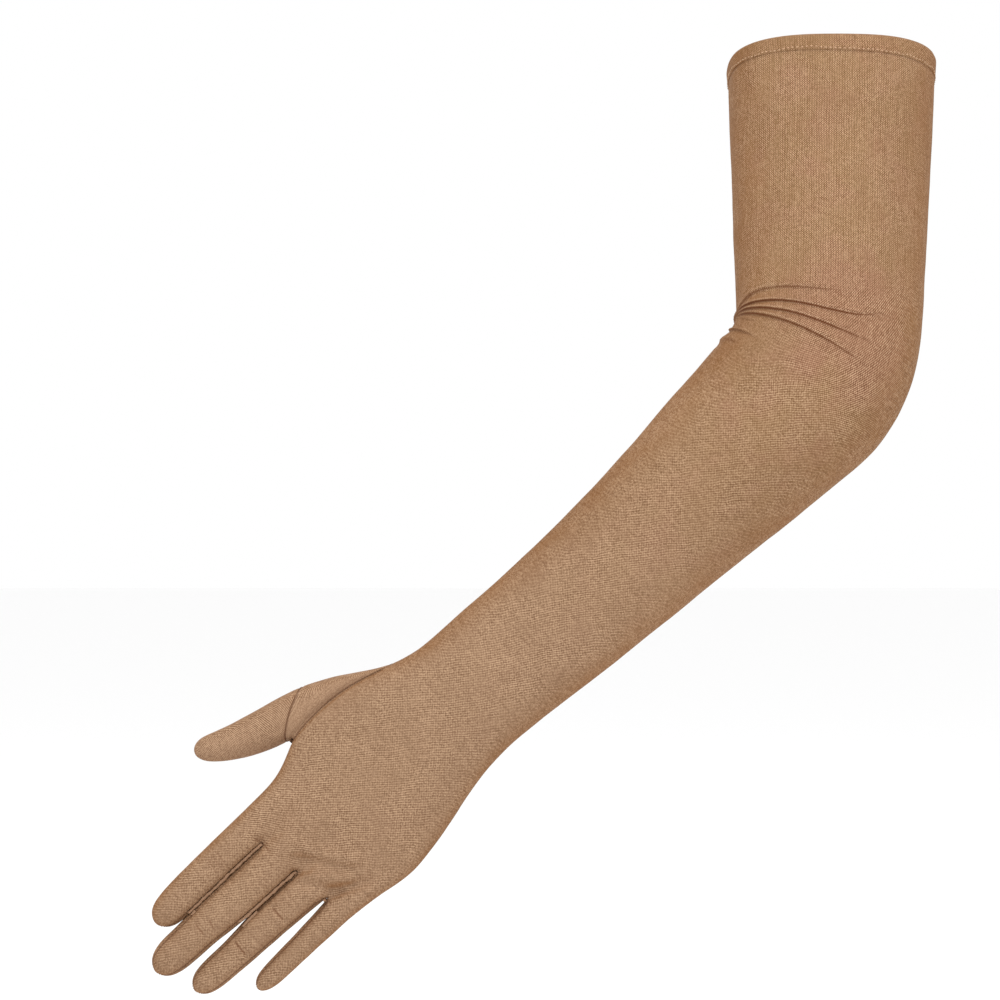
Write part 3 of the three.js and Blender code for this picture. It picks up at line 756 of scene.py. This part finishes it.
over_hand = ease(hand_front, -3, 2) * ease(normal[:, 1], 0, -0.3) * on_piece["back_panel"]
for x0, y0, x1, y1, height, width in HAND_CREASES:
    run = np.array([x1 - x0, y1 - y0])
    share = ((hand_side - x0) * run[0] + (hand_along - y0) * run[1]) / (run @ run)
    held = np.clip(share, 0, 1)
    distance = np.hypot(hand_side - x0 - held * run[0], hand_along - y0 - held * run[1])
    crease_lift += height * np.exp(-((distance / width) ** 2)) * over_hand
    # A narrow groove also gets a thin line of painted shade.
    if height < 0 and width <= 1:
        turn = run[0] * (hand_along - y0) - run[1] * (hand_side - x0)
        fading = ease(share, -0.02, 0.15) * (1 - ease(share, 0.8, 1.02))
        shade_line_sheets[0].add(np.sign(turn) * distance / 0.45, -0.9 * height * fading * over_hand)
print("creases of the hand:", len(HAND_CREASES))

# %% [markdown]
# ## Finding the seams
#
# A seam is where two pieces of cloth meet. The faces know their pieces, so the seams need no
# drawing: they are the edges with a different piece on either side.

# %% Seams
def kind_of_seam(one, other):
    """The name of a seam between two pieces. A fourchette's seams have its own name."""
    pair = {one, other}
    for name in ("hem_band", *FOURCHETTES):
        if name in pair:
            return name
    if "thumb" in pair:
        return "thumb"
    return "gusset" if "thumb_gusset" in pair else "outer"


def find_seams():
    """Edges of the fine skin that lie between two pieces, sorted by the kind of seam."""
    owner, found = {}, {}
    for face, piece in zip(quads.tolist(), face_piece.tolist()):
        for k in range(4):
            a, b = face[k], face[(k + 1) % 4]
            other = owner.pop((b, a), None)
            if other is None:
                owner[(a, b)] = piece
            elif other != piece:
                found.setdefault(kind_of_seam(PIECES[other], PIECES[piece]), []).append((a, b))
    return found


seams = find_seams()


def distance_to(kinds):
    """How far every point of the skin is from the nearest seam of some kinds."""
    ends = sorted({end for kind in kinds for edge in seams[kind] for end in edge})
    tree = kdtree.KDTree(len(ends))
    for number, end in enumerate(ends):
        tree.insert(Vector(surface[end]), number)
    tree.balance()
    return np.array([tree.find(Vector(point))[2] for point in surface])


print("seam edges:", {kind: len(edges) for kind, edges in seams.items()})

# %% [markdown]
# ## Slack in the cloth
#
# Stretched cloth is never quite even. A slow noise lifts and lowers it by a few tenths of a
# millimetre. Blender's noise needs no seed and gives the same values every time. Over the seam of
# the gusset the cloth is drawn tight from the hand to the thumb, so it does not follow the hollow
# between them.

# %% Slack and tightness
def slow_noise(points, size, shift=0.0):
    return np.array([noise.noise(Vector(p / size) + Vector((shift, 0, 0))) for p in points])


slack = 0.28 * slow_noise(surface, 22) + 0.12 * slow_noise(surface, 8, 5.0)
lift = fold_lift + crease_lift + slack * np.where(on_piece["hem_band"], 0.4, 1.0)
tight = 2.4 * np.exp(-((distance_to(["gusset"]) / 5) ** 2)) * ease(-normal[:, 1], 0, 0.5)
surface = surface + normal * lift[:, None] + tight[:, None] * np.array([0, -1, 0])
normal = directions(surface)
print("slack, mm:", round(float(slack.min()), 2), "to", round(float(slack.max()), 2))

# %% [markdown]
# ## Furrows
#
# Along a seam the cloth turns in, so the edge of a piece dips a little, and the two dips side by
# side make the furrow that a seam shows. The outer seams are pressed flat and dip less.

# %% Furrows along the seams
SEAM_DIP, OUTER_DIP = 0.45, 0.15
to_seam = distance_to([kind for kind in seams if kind not in ("hem_band", "outer")])
to_outer = distance_to(["outer"])
dip = -SEAM_DIP * np.exp(-((to_seam / 1.1) ** 2)) - OUTER_DIP * np.exp(-((to_outer / 1.0) ** 2))
print("deepest furrow, mm:", round(float(dip.min()), 2))

# %% [markdown]
# ## How the colour varies
#
# The cloth is painted paler where it faces the front and deeper on the flanks that turn away from
# it: this is painted shade. It has a pinker tone at the elbow, and a thin dark line runs along each
# seam. Where two fingers are pressed together the line is fainter, because the gathered edge that
# stands up there catches the light. The skin stores all this for the material to read.

# %% Tint
on_thumb = on_piece["thumb"] | on_piece["thumb_gusset"]
on_flank = np.any([on_piece[name] for name in FOURCHETTES], axis=0)
# Painted light and shade: 1 where the cloth faces the front, falling to 0 on the flanks that turn
# away.
painted_front_light = ease(np.abs(normal[:, 1]), 0.25, 1.0)
painted_front_light = np.where(on_thumb | on_flank, mix(painted_front_light, 1, 0.6), painted_front_light)
pink_place = np.exp(-(((bend_share - 0.3) / 0.45) ** 2) - ((from_crook - 95) / 45) ** 2)
in_pinch = np.exp(-(((bend_share - 0.2) / 0.2) ** 2) - (from_crook / 30) ** 2)
pink = np.where(on_sleeve, pink_place + in_pinch, 0)
pressed = np.zeros(len(surface))
for crotch, length in enumerate(PRESSED[:2]):
    beside = np.abs(hand_side - finger_edges[crotch + 1]) < 6
    pressed = np.maximum(pressed, beside * (1 - ease(hand_along, length - 8, length)))
seam_strength = 0.55 * (1 - 0.3 * pressed)
tint = np.stack([painted_front_light, pink, np.minimum(to_seam, 4), seam_strength], 1)
# The painted shade lines of the folds and creases, in two sheets.
fold_shade_lines = np.stack([channel for sheet in shade_line_sheets for channel in sheet.channels()], 1)
print("tint, mean:", tint.mean(0).round(2))

# %% [markdown]
# ## Cutting out the pieces
#
# Now each piece is cut out of the skin. Its outer side is the skin itself, and its inner side is
# the skin moved inwards, with a narrow wall between the two along every edge. The hem is folded
# double: it is thicker, stands proud of the sleeve and has a round rim.

# %% Cut the pieces
def cut_piece(name):
    chosen = face_piece == PIECES.index(name)
    faces, weave = quads[chosen], corner_weave[chosen]
    used, faces = np.unique(faces, return_inverse=True)
    faces = faces.reshape(-1, 4)
    points, out = surface[used], normal[used]
    if name == "hem_band":
        half = HEM_WALL / 2
        from_rim = np.clip(walked[used], 0, half)
        half_wall = np.maximum(np.sqrt(half**2 - (half - from_rim) ** 2), 0.3 * half)
        centre = HEM_PROUD * mix(0.3, 1, ease(HEM_HEIGHT - walked[used], 0, 1.6)) - half
        lifts = centre + half_wall, centre - half_wall
    else:
        lifts = dip[used], dip[used] - CLOTH_WALL
    count = len(used)
    all_points = np.concatenate([points + out * lifts[0][:, None], points + out * lifts[1][:, None]])
    edges = {}
    for row, face in enumerate(faces.tolist()):
        for k in range(4):
            a, b = face[k], face[(k + 1) % 4]
            if edges.pop((b, a), None) is None:
                edges[(a, b)] = (row, k)
    walls = [[b, a, a + count, b + count] for a, b in edges]
    wall_weave = [weave[row][[(k + 1) % 4, k, k, (k + 1) % 4]] for row, k in edges.values()]
    all_faces = np.concatenate([faces, faces[:, ::-1] + count, np.array(walls)])
    all_weave = np.concatenate([weave, weave[:, ::-1], np.array(wall_weave)])
    mesh = bpy.data.meshes.new(name)
    mesh.vertices.add(len(all_points))
    mesh.vertices.foreach_set("co", (all_points * MM).ravel())
    mesh.loops.add(all_faces.size)
    mesh.loops.foreach_set("vertex_index", all_faces.ravel().astype(np.int32))
    mesh.polygons.add(len(all_faces))
    mesh.polygons.foreach_set("loop_start", np.arange(0, all_faces.size, 4, dtype=np.int32))
    mesh.update(calc_edges=True)
    mesh.uv_layers.new(name="weave").data.foreach_set("uv", all_weave.astype(np.float32).ravel())
    for label, values in (("tint", tint), ("fold_shade_lines", fold_shade_lines)):
        colours = np.concatenate([values[used], values[used]]).astype(np.float32)
        mesh.attributes.new(label, "FLOAT_COLOR", "POINT").data.foreach_set("color", colours.ravel())
    mesh.polygons.foreach_set("use_smooth", np.ones(len(all_faces), bool))
    mesh.validate()
    return put(f"{name}_cloth", mesh)


cloth = {name: cut_piece(name) for name in PIECES}
for name, piece in cloth.items():
    print(name, "triangles:", 2 * len(piece.data.polygons))

# %% [markdown]
# ## Shader arithmetic
#
# A material is a network of nodes, and most of its nodes do plain sums. `Wire` wraps the output of
# a node, so that the sums can be written as Python. Every other node comes from `Recipe.node`.

# %% Helpers for materials
class Wire:
    """An output socket that can be used in an expression. Each operation adds a Math node."""

    def __init__(self, recipe, socket):
        self.recipe, self.socket = recipe, socket

    def math(self, operation, *others):
        values = dict(enumerate((self, *others)))
        return self.recipe.node("ShaderNodeMath", {"operation": operation}, values)

    def __add__(self, other):
        return self.math("ADD", other)

    def __mul__(self, other):
        return self.math("MULTIPLY", other)

    def __sub__(self, other):
        return self.math("SUBTRACT", other)

    def __rsub__(self, other):
        return self.recipe.node("ShaderNodeMath", {"operation": "SUBTRACT"}, {0: other, 1: self})

    __radd__, __rmul__ = __add__, __mul__


class Recipe:
    def __init__(self, name):
        self.material = bpy.data.materials.new(name)
        self.material.use_nodes = True
        self.tree = self.material.node_tree
        self.tree.nodes.clear()
        self.surface = self.tree.nodes.new("ShaderNodeBsdfPrincipled")
        output = self.tree.nodes.new("ShaderNodeOutputMaterial")
        self.tree.links.new(self.surface.outputs["BSDF"], output.inputs["Surface"])

    def node(self, kind, settings=None, sockets=None, output=0):
        """Adds a node: its settings come first, then the values or wires of its sockets."""
        node = self.tree.nodes.new(kind)
        for key, value in (settings or {}).items():
            setattr(node, key, value)
        self.set(node, sockets or {})
        return Wire(self, node.outputs[output])

    def set(self, node, sockets):
        for key, value in sockets.items():
            if isinstance(value, Wire):
                self.tree.links.new(value.socket, node.inputs[key])
            else:
                node.inputs[key].default_value = value

    def mix_colour(self, share, one, other, blend="MIX"):
        settings = {"data_type": "RGBA", "blend_type": blend}
        return self.node("ShaderNodeMix", settings, {0: share, 6: one, 7: other}, 2)

    def finish(self, sockets):
        """Sets sockets of the surface and gives the finished material."""
        self.set(self.surface, sockets)
        return self.material


def linear(red, green, blue):
    """A colour as it is read off a screen, from 0 to 255, turned to the linear one of shaders."""
    screen = np.array([red, green, blue]) / 255
    values = np.where(screen <= 0.04045, screen / 12.92, ((screen + 0.055) / 1.055) ** 2.4)
    return (*values.tolist(), 1.0)


# %% [markdown]
# ## Tulle
#
# Stretch tulle is a net of very fine yarn. Seen from an arm's length, its holes are a close grain
# of lighter and darker specks in staggered rows. On the upper arm the cells line up in faint wales
# along the grain, and below the elbow they run together into faint waves across it. The tone drifts
# between a yellow and a pink tan. The `weave` map makes the net follow the cut of each piece.

# %% Tulle material
# The third colour is painted shade, for the flanks that turn away from the front.
OLIVE_TAN, PINK_TAN, PAINTED_FLANK_SHADE = (138, 105, 72), (143, 103, 78), (126, 80, 34)
HAND_TAN, THUMB_TAN = (143, 113, 88), (152, 120, 94)
# The last colour is for the seam lines and for the painted shade lines under folds and in creases.
DARK_SPECK, LIGHT_SPECK, SEAM_AND_SHADE_BROWN = (88, 56, 32), (196, 162, 130), (90, 44, 14)
# how much each of them moves the tone
SPECKS, WAVES, DRIFT = 0.76, 0.4, 0.25


def tulle(name, shade=1.0, cell=0.55):
    made = Recipe(name)
    place = made.node("ShaderNodeUVMap", {"uv_map": "weave"})
    across, along = (made.node("ShaderNodeSeparateXYZ", None, {0: place}, k) * 1000 for k in (0, 1))
    solid = made.node("ShaderNodeTexCoord", None, None, "Object")

    def stored(label):
        """The four numbers that every point of the skin stores under a name."""
        read_out = made.node("ShaderNodeAttribute", {"attribute_name": label})
        parts = [made.node("ShaderNodeSeparateColor", None, {0: read_out}, k) for k in range(3)]
        return [*parts, Wire(made, read_out.socket.node.outputs["Alpha"])]

    def line(off, strength, width=1.0):
        off = off * (1 / width)
        return strength * (off * off * -1.0).math("EXPONENT")

    painted_front_light, pink, to_seam, seam_strength = stored("tint")
    off_one, strength_one, off_two, strength_two = stored("fold_shade_lines")

    def on_sheets(shift, width):
        """The painted shade lines of both sheets, moved by so many of their widths."""
        one, two = (off_one, strength_one), (off_two, strength_two)
        one, two = (line(off + shift, strength, width) for off, strength in (one, two))
        return one.math("MAXIMUM", two)

    # Painted shade lines under the folds and in the creases, together with the dark seam lines.
    dark = on_sheets(0.0, 1.0).math("MAXIMUM", line(to_seam, seam_strength, 0.45))
    # A painted highlight on the crest above each fold.
    painted_crest_light = on_sheets(2.4, 1.2)

    def noise_at(vector, scale, detail):
        sockets = {"Vector": vector, "Scale": scale, "Detail": detail}
        return made.node("ShaderNodeTexNoise", None, sockets)

    def drift(size, detail=1.0):
        """Noise whose spots are so many millimetres wide."""
        return noise_at(solid, 1000 / size, detail)

    def on_cloth(x, y):
        return made.node("ShaderNodeCombineXYZ", None, {0: x, 1: y})

    def stretched(across_size, along_size):
        """Noise whose spots are so many millimetres across and along the cloth."""
        return noise_at(on_cloth(across * (1 / across_size), along * (1 / along_size)), 1.0, 2.0)

    def span(value, start, end, low=0.0, high=1.0):
        sockets = {"Value": value, "From Min": start, "From Max": end, "To Min": low, "To Max": high}
        return made.node("ShaderNodeMapRange", None, sockets)

    on_arm = span(along, 100, 170, 1.0, 0.0)
    bent_across = across + (drift(9) - 0.5) * 1.1
    bent_along = along + (drift(11) - 0.5) * 1.5
    one, other = bent_across * (math.pi / cell), bent_along * (math.pi / (0.9 * cell))
    checks = one.math("COSINE") * (other.math("COSINE") + on_arm * 0.3)
    twill = one.math("SINE") * other.math("SINE")
    net = checks - twill * (1 - on_arm) * 0.35
    cells = on_cloth(*((bent * (1 / cell)).math("FLOOR") for bent in (bent_across, bent_along)))
    chance = made.node("ShaderNodeTexWhiteNoise", {"noise_dimensions": "2D"}, {"Vector": cells})
    clear = span(drift(14, 2.0), 0.35, 0.65, 0.6, 1.0)
    specks = (net + (chance - 0.5) * 0.75) * clear
    waves = stretched(9, 1.5) - 0.5
    wales = stretched(1.0, 30) - 0.5
    tone = specks * SPECKS + waves * (1 - on_arm) * WAVES + wales * on_arm * WAVES
    tone = (tone + (drift(48, 2.0) - 0.5) * DRIFT) * span(along, thumb_end - 2.5, thumb_end, 1.0, 0.0)
    patches = span(drift(18, 2.0) + (pink - 0.25) * 0.45, 0.35, 0.7)
    arm_tan = made.mix_colour(patches, linear(*OLIVE_TAN), linear(*PINK_TAN))
    flat_tan = made.mix_colour(span(along, 170, 310, 0.0, 0.9), arm_tan, linear(*HAND_TAN))
    on_thumb_piece = span(along, THUMB_CLOTH - 40, THUMB_CLOTH)
    flat_tan = made.mix_colour(on_thumb_piece, flat_tan, linear(*THUMB_TAN))
    # Painted shade: the flanks that turn away from the front get the deeper flank colour.
    ground = made.mix_colour(painted_front_light, linear(*PAINTED_FLANK_SHADE), flat_tan)
    darker = made.mix_colour(span(tone, 0.0, -0.75), ground, linear(*DARK_SPECK))
    lighter = made.mix_colour(span(tone + painted_crest_light * 0.22, 0.0, 0.75), darker, linear(*LIGHT_SPECK))
    colour = made.mix_colour(dark * 0.9, lighter, linear(*SEAM_AND_SHADE_BROWN))
    if shade != 1.0:
        grey = (shade, shade * 0.97, shade * 0.93, 1.0)
        colour = made.mix_colour(1.0, colour, grey, "MULTIPLY")
    relief = net * 0.04 + waves * 0.16 + wales * on_arm * 0.12
    bump = made.node("ShaderNodeBump", None, {"Height": relief, "Distance": 0.001, "Strength": 0.7})
    sheen = {"Sheen Weight": 0.05, "Sheen Roughness": 0.5, "Sheen Tint": linear(214, 186, 158)}
    roughness = 0.88 - specks * 0.1
    looks = {"Base Color": colour, "Roughness": roughness, "Normal": bump, "Specular IOR Level": 0.2}
    return made.finish({**looks, **sheen})


tulle_cloth = tulle("tan_tulle")
doubled_cloth = tulle("doubled_tan_tulle", shade=0.96)
print("nodes in the tulle:", len(tulle_cloth.node_tree.nodes))

# %% [markdown]
# ## Thread
#
# The sewing thread is a twisted polyester of nearly the cloth's own colour. It is a shade lighter
# where it catches the light, so it is drawn with fine slanting bands.

# %% Thread material
def thread(name, light, dark):
    made = Recipe(name)
    solid = made.node("ShaderNodeTexCoord", None, None, "Object")
    sockets = {"Vector": solid, "Scale": 900.0, "Distortion": 1.0}
    bands = made.node("ShaderNodeTexWave", {"bands_direction": "DIAGONAL"}, sockets)
    bump = made.node("ShaderNodeBump", None, {"Height": bands, "Distance": 0.0001})
    colour = made.mix_colour(bands, linear(*dark), linear(*light))
    return made.finish({"Base Color": colour, "Roughness": 0.62, "Normal": bump})


hem_thread = thread("hem_thread", (220, 186, 150), (160, 122, 90))
seam_thread = thread("seam_thread", (156, 112, 78), (112, 74, 46))
gathered_yarn = thread("gathered_tulle", (168, 132, 102), (126, 90, 62))

# %% [markdown]
# ## Stitches
#
# A seam of a glove is a row of equal stitches along a line, which is what Geometry Nodes are for.
# The line is a mesh of edges, taken from the smooth skin. The first tree lays short stitches along
# it, for the hem. The second winds small loops of thread over it, for the seams of the thumb and
# the fingers. The third draws the gathered edge of the cloth between two fingers that are pressed
# together: a thin tube that a noise pushes in and out.

# %% Geometry Nodes helpers
def add(tree, kind, settings=None, sockets=None):
    """Adds a node and gives its first output."""
    node = tree.nodes.new(kind)
    for key, value in (settings or {}).items():
        setattr(node, key, value)
    for key, value in (sockets or {}).items():
        if isinstance(value, bpy.types.NodeSocket):
            tree.links.new(value, node.inputs[key])
        else:
            node.inputs[key].default_value = value
    return node.outputs[0] if node.outputs else node


def new_tree(name, numbers):
    """A tree with named numbers as inputs. It comes with its outputs and the line it is given."""
    tree = bpy.data.node_groups.new(name, "GeometryNodeTree")
    tree.interface.new_socket("Geometry", in_out="INPUT", socket_type="NodeSocketGeometry")
    for label, value in numbers.items():
        socket = tree.interface.new_socket(label, in_out="INPUT", socket_type="NodeSocketFloat")
        socket.default_value = value
    tree.interface.new_socket("Geometry", in_out="OUTPUT", socket_type="NodeSocketGeometry")
    given = tree.nodes.new("NodeGroupInput").outputs
    return tree, given, add(tree, "GeometryNodeMeshToCurve", None, {0: given["Geometry"]})


def circle_of(tree, steps, radius):
    return add(tree, "GeometryNodeCurvePrimitiveCircle", None, {"Resolution": steps, "Radius": radius})


def tube_along(tree, line, section, capped=False):
    sockets = {"Curve": line, "Profile Curve": section, "Fill Caps": capped}
    return add(tree, "GeometryNodeCurveToMesh", None, sockets)


def spread_along(tree, line, spacing, shape):
    """Instances of a shape along a line, turned to follow it."""
    points = tree.nodes.new("GeometryNodeResampleCurve")
    if "Mode" in points.inputs:
        points.inputs["Mode"].default_value = "Length"
    else:
        points.mode = "LENGTH"
    tree.links.new(line, points.inputs["Curve"])
    tree.links.new(spacing, points.inputs["Length"])
    tangent = add(tree, "GeometryNodeInputTangent")
    turn = add(tree, "FunctionNodeAlignRotationToVector", {"axis": "Z"}, {"Vector": tangent})
    sockets = {"Points": points.outputs[0], "Instance": shape, "Rotation": turn}
    return add(tree, "GeometryNodeInstanceOnPoints", None, sockets)


def finish_tree(tree, made, material):
    real = add(tree, "GeometryNodeRealizeInstances", None, {0: made})
    painted = add(tree, "GeometryNodeSetMaterial", None, {0: real, "Material": material})
    smooth = add(tree, "GeometryNodeSetShadeSmooth", None, {0: painted})
    add(tree, "NodeGroupOutput", None, {0: smooth})
    return tree


# %% Tree for running stitches
def running_stitches(name, material, spacing, length, thickness):
    numbers = {"Spacing": spacing, "Length": length, "Thickness": thickness}
    tree, given, line = new_tree(name, numbers)
    ball = add(tree, "GeometryNodeMeshUVSphere", None, {"Segments": 7, "Rings": 6, "Radius": 0.5})
    sockets = {0: given["Thickness"], 1: given["Thickness"], 2: given["Length"]}
    size = add(tree, "ShaderNodeCombineXYZ", None, sockets)
    shape = add(tree, "GeometryNodeTransform", None, {"Geometry": ball, "Scale": size})
    return finish_tree(tree, spread_along(tree, line, given["Spacing"], shape), material)


# %% Tree for loops of thread over a seam
def wound_thread(name, material, spacing, radius, thickness):
    numbers = {"Spacing": spacing, "Radius": radius, "Thickness": thickness}
    tree, given, line = new_tree(name, numbers)
    ring, yarn = circle_of(tree, 8, given["Radius"]), circle_of(tree, 4, given["Thickness"])
    loop = tube_along(tree, ring, yarn)
    return finish_tree(tree, spread_along(tree, line, given["Spacing"], loop), material)


# %% Tree for the gathered edge of the cloth
def gathered_edge(name, material, radius, gather, pitch):
    tree, given, line = new_tree(name, {"Radius": radius, "Gather": gather, "Pitch": pitch})
    tube = tube_along(tree, line, circle_of(tree, 8, given["Radius"]), capped=True)
    scale = add(tree, "ShaderNodeMath", {"operation": "DIVIDE"}, {0: 1.0, 1: given["Pitch"]})
    bumps = add(tree, "ShaderNodeTexNoise", None, {"Scale": scale, "Detail": 1.0})
    height = add(tree, "ShaderNodeMath", {"operation": "SUBTRACT"}, {0: bumps, 1: 0.5})
    amount = add(tree, "ShaderNodeMath", {"operation": "MULTIPLY"}, {0: height, 1: given["Gather"]})
    sockets = {0: add(tree, "GeometryNodeInputNormal"), "Scale": amount}
    push = add(tree, "ShaderNodeVectorMath", {"operation": "SCALE"}, sockets)
    moved = add(tree, "GeometryNodeSetPosition", None, {0: tube, "Offset": push})
    return finish_tree(tree, moved, material)


# %% Lay the stitches
def stitch(name, points, edges, tree):
    line = put(f"{name}_line", mesh_from(f"{name}_line", points, [], edges))
    nodes = line.modifiers.new("Stitches", "NODES")
    nodes.node_group = tree
    for item in tree.interface.items_tree:
        if item.in_out == "INPUT" and item.socket_type == "NodeSocketFloat":
            nodes[item.identifier] = item.default_value
    bpy.context.view_layer.update()
    made = bpy.data.meshes.new_from_object(line.evaluated_get(bpy.context.evaluated_depsgraph_get()))
    bpy.data.objects.remove(line)
    print(name, "triangles:", sum(len(p.vertices) - 2 for p in made.polygons))
    return put(name, made)


def seam_line(edges, proud, shift=0.0):
    """Points a little proud of the skin along some edges, and the edges between them."""
    used = sorted({end for edge in edges for end in edge})
    number = {end: k for k, end in enumerate(used)}
    points = surface[used] + normal[used] * proud + shift
    return points, [(number[a], number[b]) for a, b in edges]


def lies_in(edge, low_side, high_side, length):
    """Whether an edge lies beside a crotch, between two sides of the hand and above a length."""
    return all(low_side < hand_side[end] < high_side and -2 < hand_along[end] < length for end in edge)


up = -Place([0, 0, 0], 0, ARM_TILT).along
free_edges, pressed_edges = [], []
for name, length, middle in zip(FOURCHETTES, PRESSED, finger_edges[1:]):
    free_edges += [edge for edge in seams[name] if not lies_in(edge, middle - 6, middle + 6, length)]
    pressed_edges += [edge for edge in seams[name] if lies_in(edge, middle - 6, middle, length)]
running = running_stitches("running_stitches", hem_thread, 0.0021, 0.0012, 0.0005)
overcast = wound_thread("overcast_seam", seam_thread, 0.0012, 0.00038, 0.00012)
gathered = gathered_edge("gathered_edge", gathered_yarn, 0.00075, 0.0016, 0.0018)
hem_ends = surface[sorted({end for edge in seams["hem_band"] for end in edge})]
wobble = 1.1 + 0.9 * slow_noise(hem_ends, 7, 2.0)
hem_line = seam_line(seams["hem_band"], HEM_PROUD + 0.1, wobble[:, None] * up)
stitches = [
    stitch("hem_stitches", *hem_line, running),
    stitch("fourchette_stitches", *seam_line(free_edges, -0.48), overcast),
    stitch("thumb_stitches", *seam_line(seams["thumb"], -0.45), overcast),
    stitch("gusset_stitches", *seam_line(seams["gusset"], -0.45), overcast),
    stitch("pressed_seams", *seam_line(pressed_edges, 0.15, 0.25 * knuckle_place.side), gathered),
]

# %% [markdown]
# ## Putting it together
#
# Every piece of cloth stands for its CAD solid, which is hidden. All of them ride on the one body,
# because nothing on the glove turns about a joint.

# %% Materials, bodies and CAD nodes
DOUBLED = {"hem_band", *FOURCHETTES}
for name, piece in cloth.items():
    doubled = name in DOUBLED
    piece.data.materials.clear()
    piece.data.materials.append(doubled_cloth if doubled else tulle_cloth)
    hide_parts(name)
    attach(piece, "root")
for piece in stitches:
    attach(piece, "root")

# %% [markdown]
# ## Floor, light and camera
#
# The glove hangs in front of plain white, as in a shop's picture. A pale floor lies below it, and a
# large soft lamp from above gives the arm its round form. The camera looks level along +Y
# from two metres, with a long lens, so that near and far parts keep their proportions.

# %% Floor
floor_mesh = bpy.data.meshes.new("floor")
reach, low = 12.0, cad_low.z - 0.06
corners = [(x * reach, y * reach, low) for x, y in ((-1, -1), (1, -1), (1, 1), (-1, 1))]
floor_mesh.from_pydata(corners, [], [(0, 1, 2, 3)])
chalk = Recipe("chalk_floor").finish({"Base Color": (0.97, 0.97, 0.97, 1.0), "Roughness": 1.0})
floor_mesh.materials.append(chalk)
floor = put("floor", floor_mesh)
floor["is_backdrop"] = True

# %% Light
scene = bpy.context.scene
scene.view_settings.view_transform = "Standard"
world = bpy.data.worlds.new("studio")
scene.world = world
world.use_nodes = True
sky = world.node_tree.nodes["Background"].inputs
sky["Color"].default_value, sky["Strength"].default_value = (1.0, 1.0, 1.0, 1.0), 1.0

lamp = bpy.data.lights.new("key_lamp", "AREA")
lamp.shape, lamp.size, lamp.energy = "DISK", 1.0, 23
key_lamp = put("key_lamp", lamp)
key_lamp.location = (0.05, -1.4, 1.5)
to_glove = Vector((-0.15, 0, -0.2)) - key_lamp.location
key_lamp.rotation_euler = to_glove.to_track_quat("-Z", "Y").to_euler()

# %% Camera
camera_data = bpy.data.cameras.new("camera")
camera_data.lens, camera_data.sensor_width = 160, 36
camera = put("camera", camera_data)
camera.location = (-0.14895, -2.0, -0.1944)
camera.rotation_euler = (math.radians(90), 0, 0)
scene.camera = camera

# %% Sizes of the dressed glove, and the end
low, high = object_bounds()
print("dressed box, mm:", [round(1000 * (h - l)) for l, h in zip(low, high)])
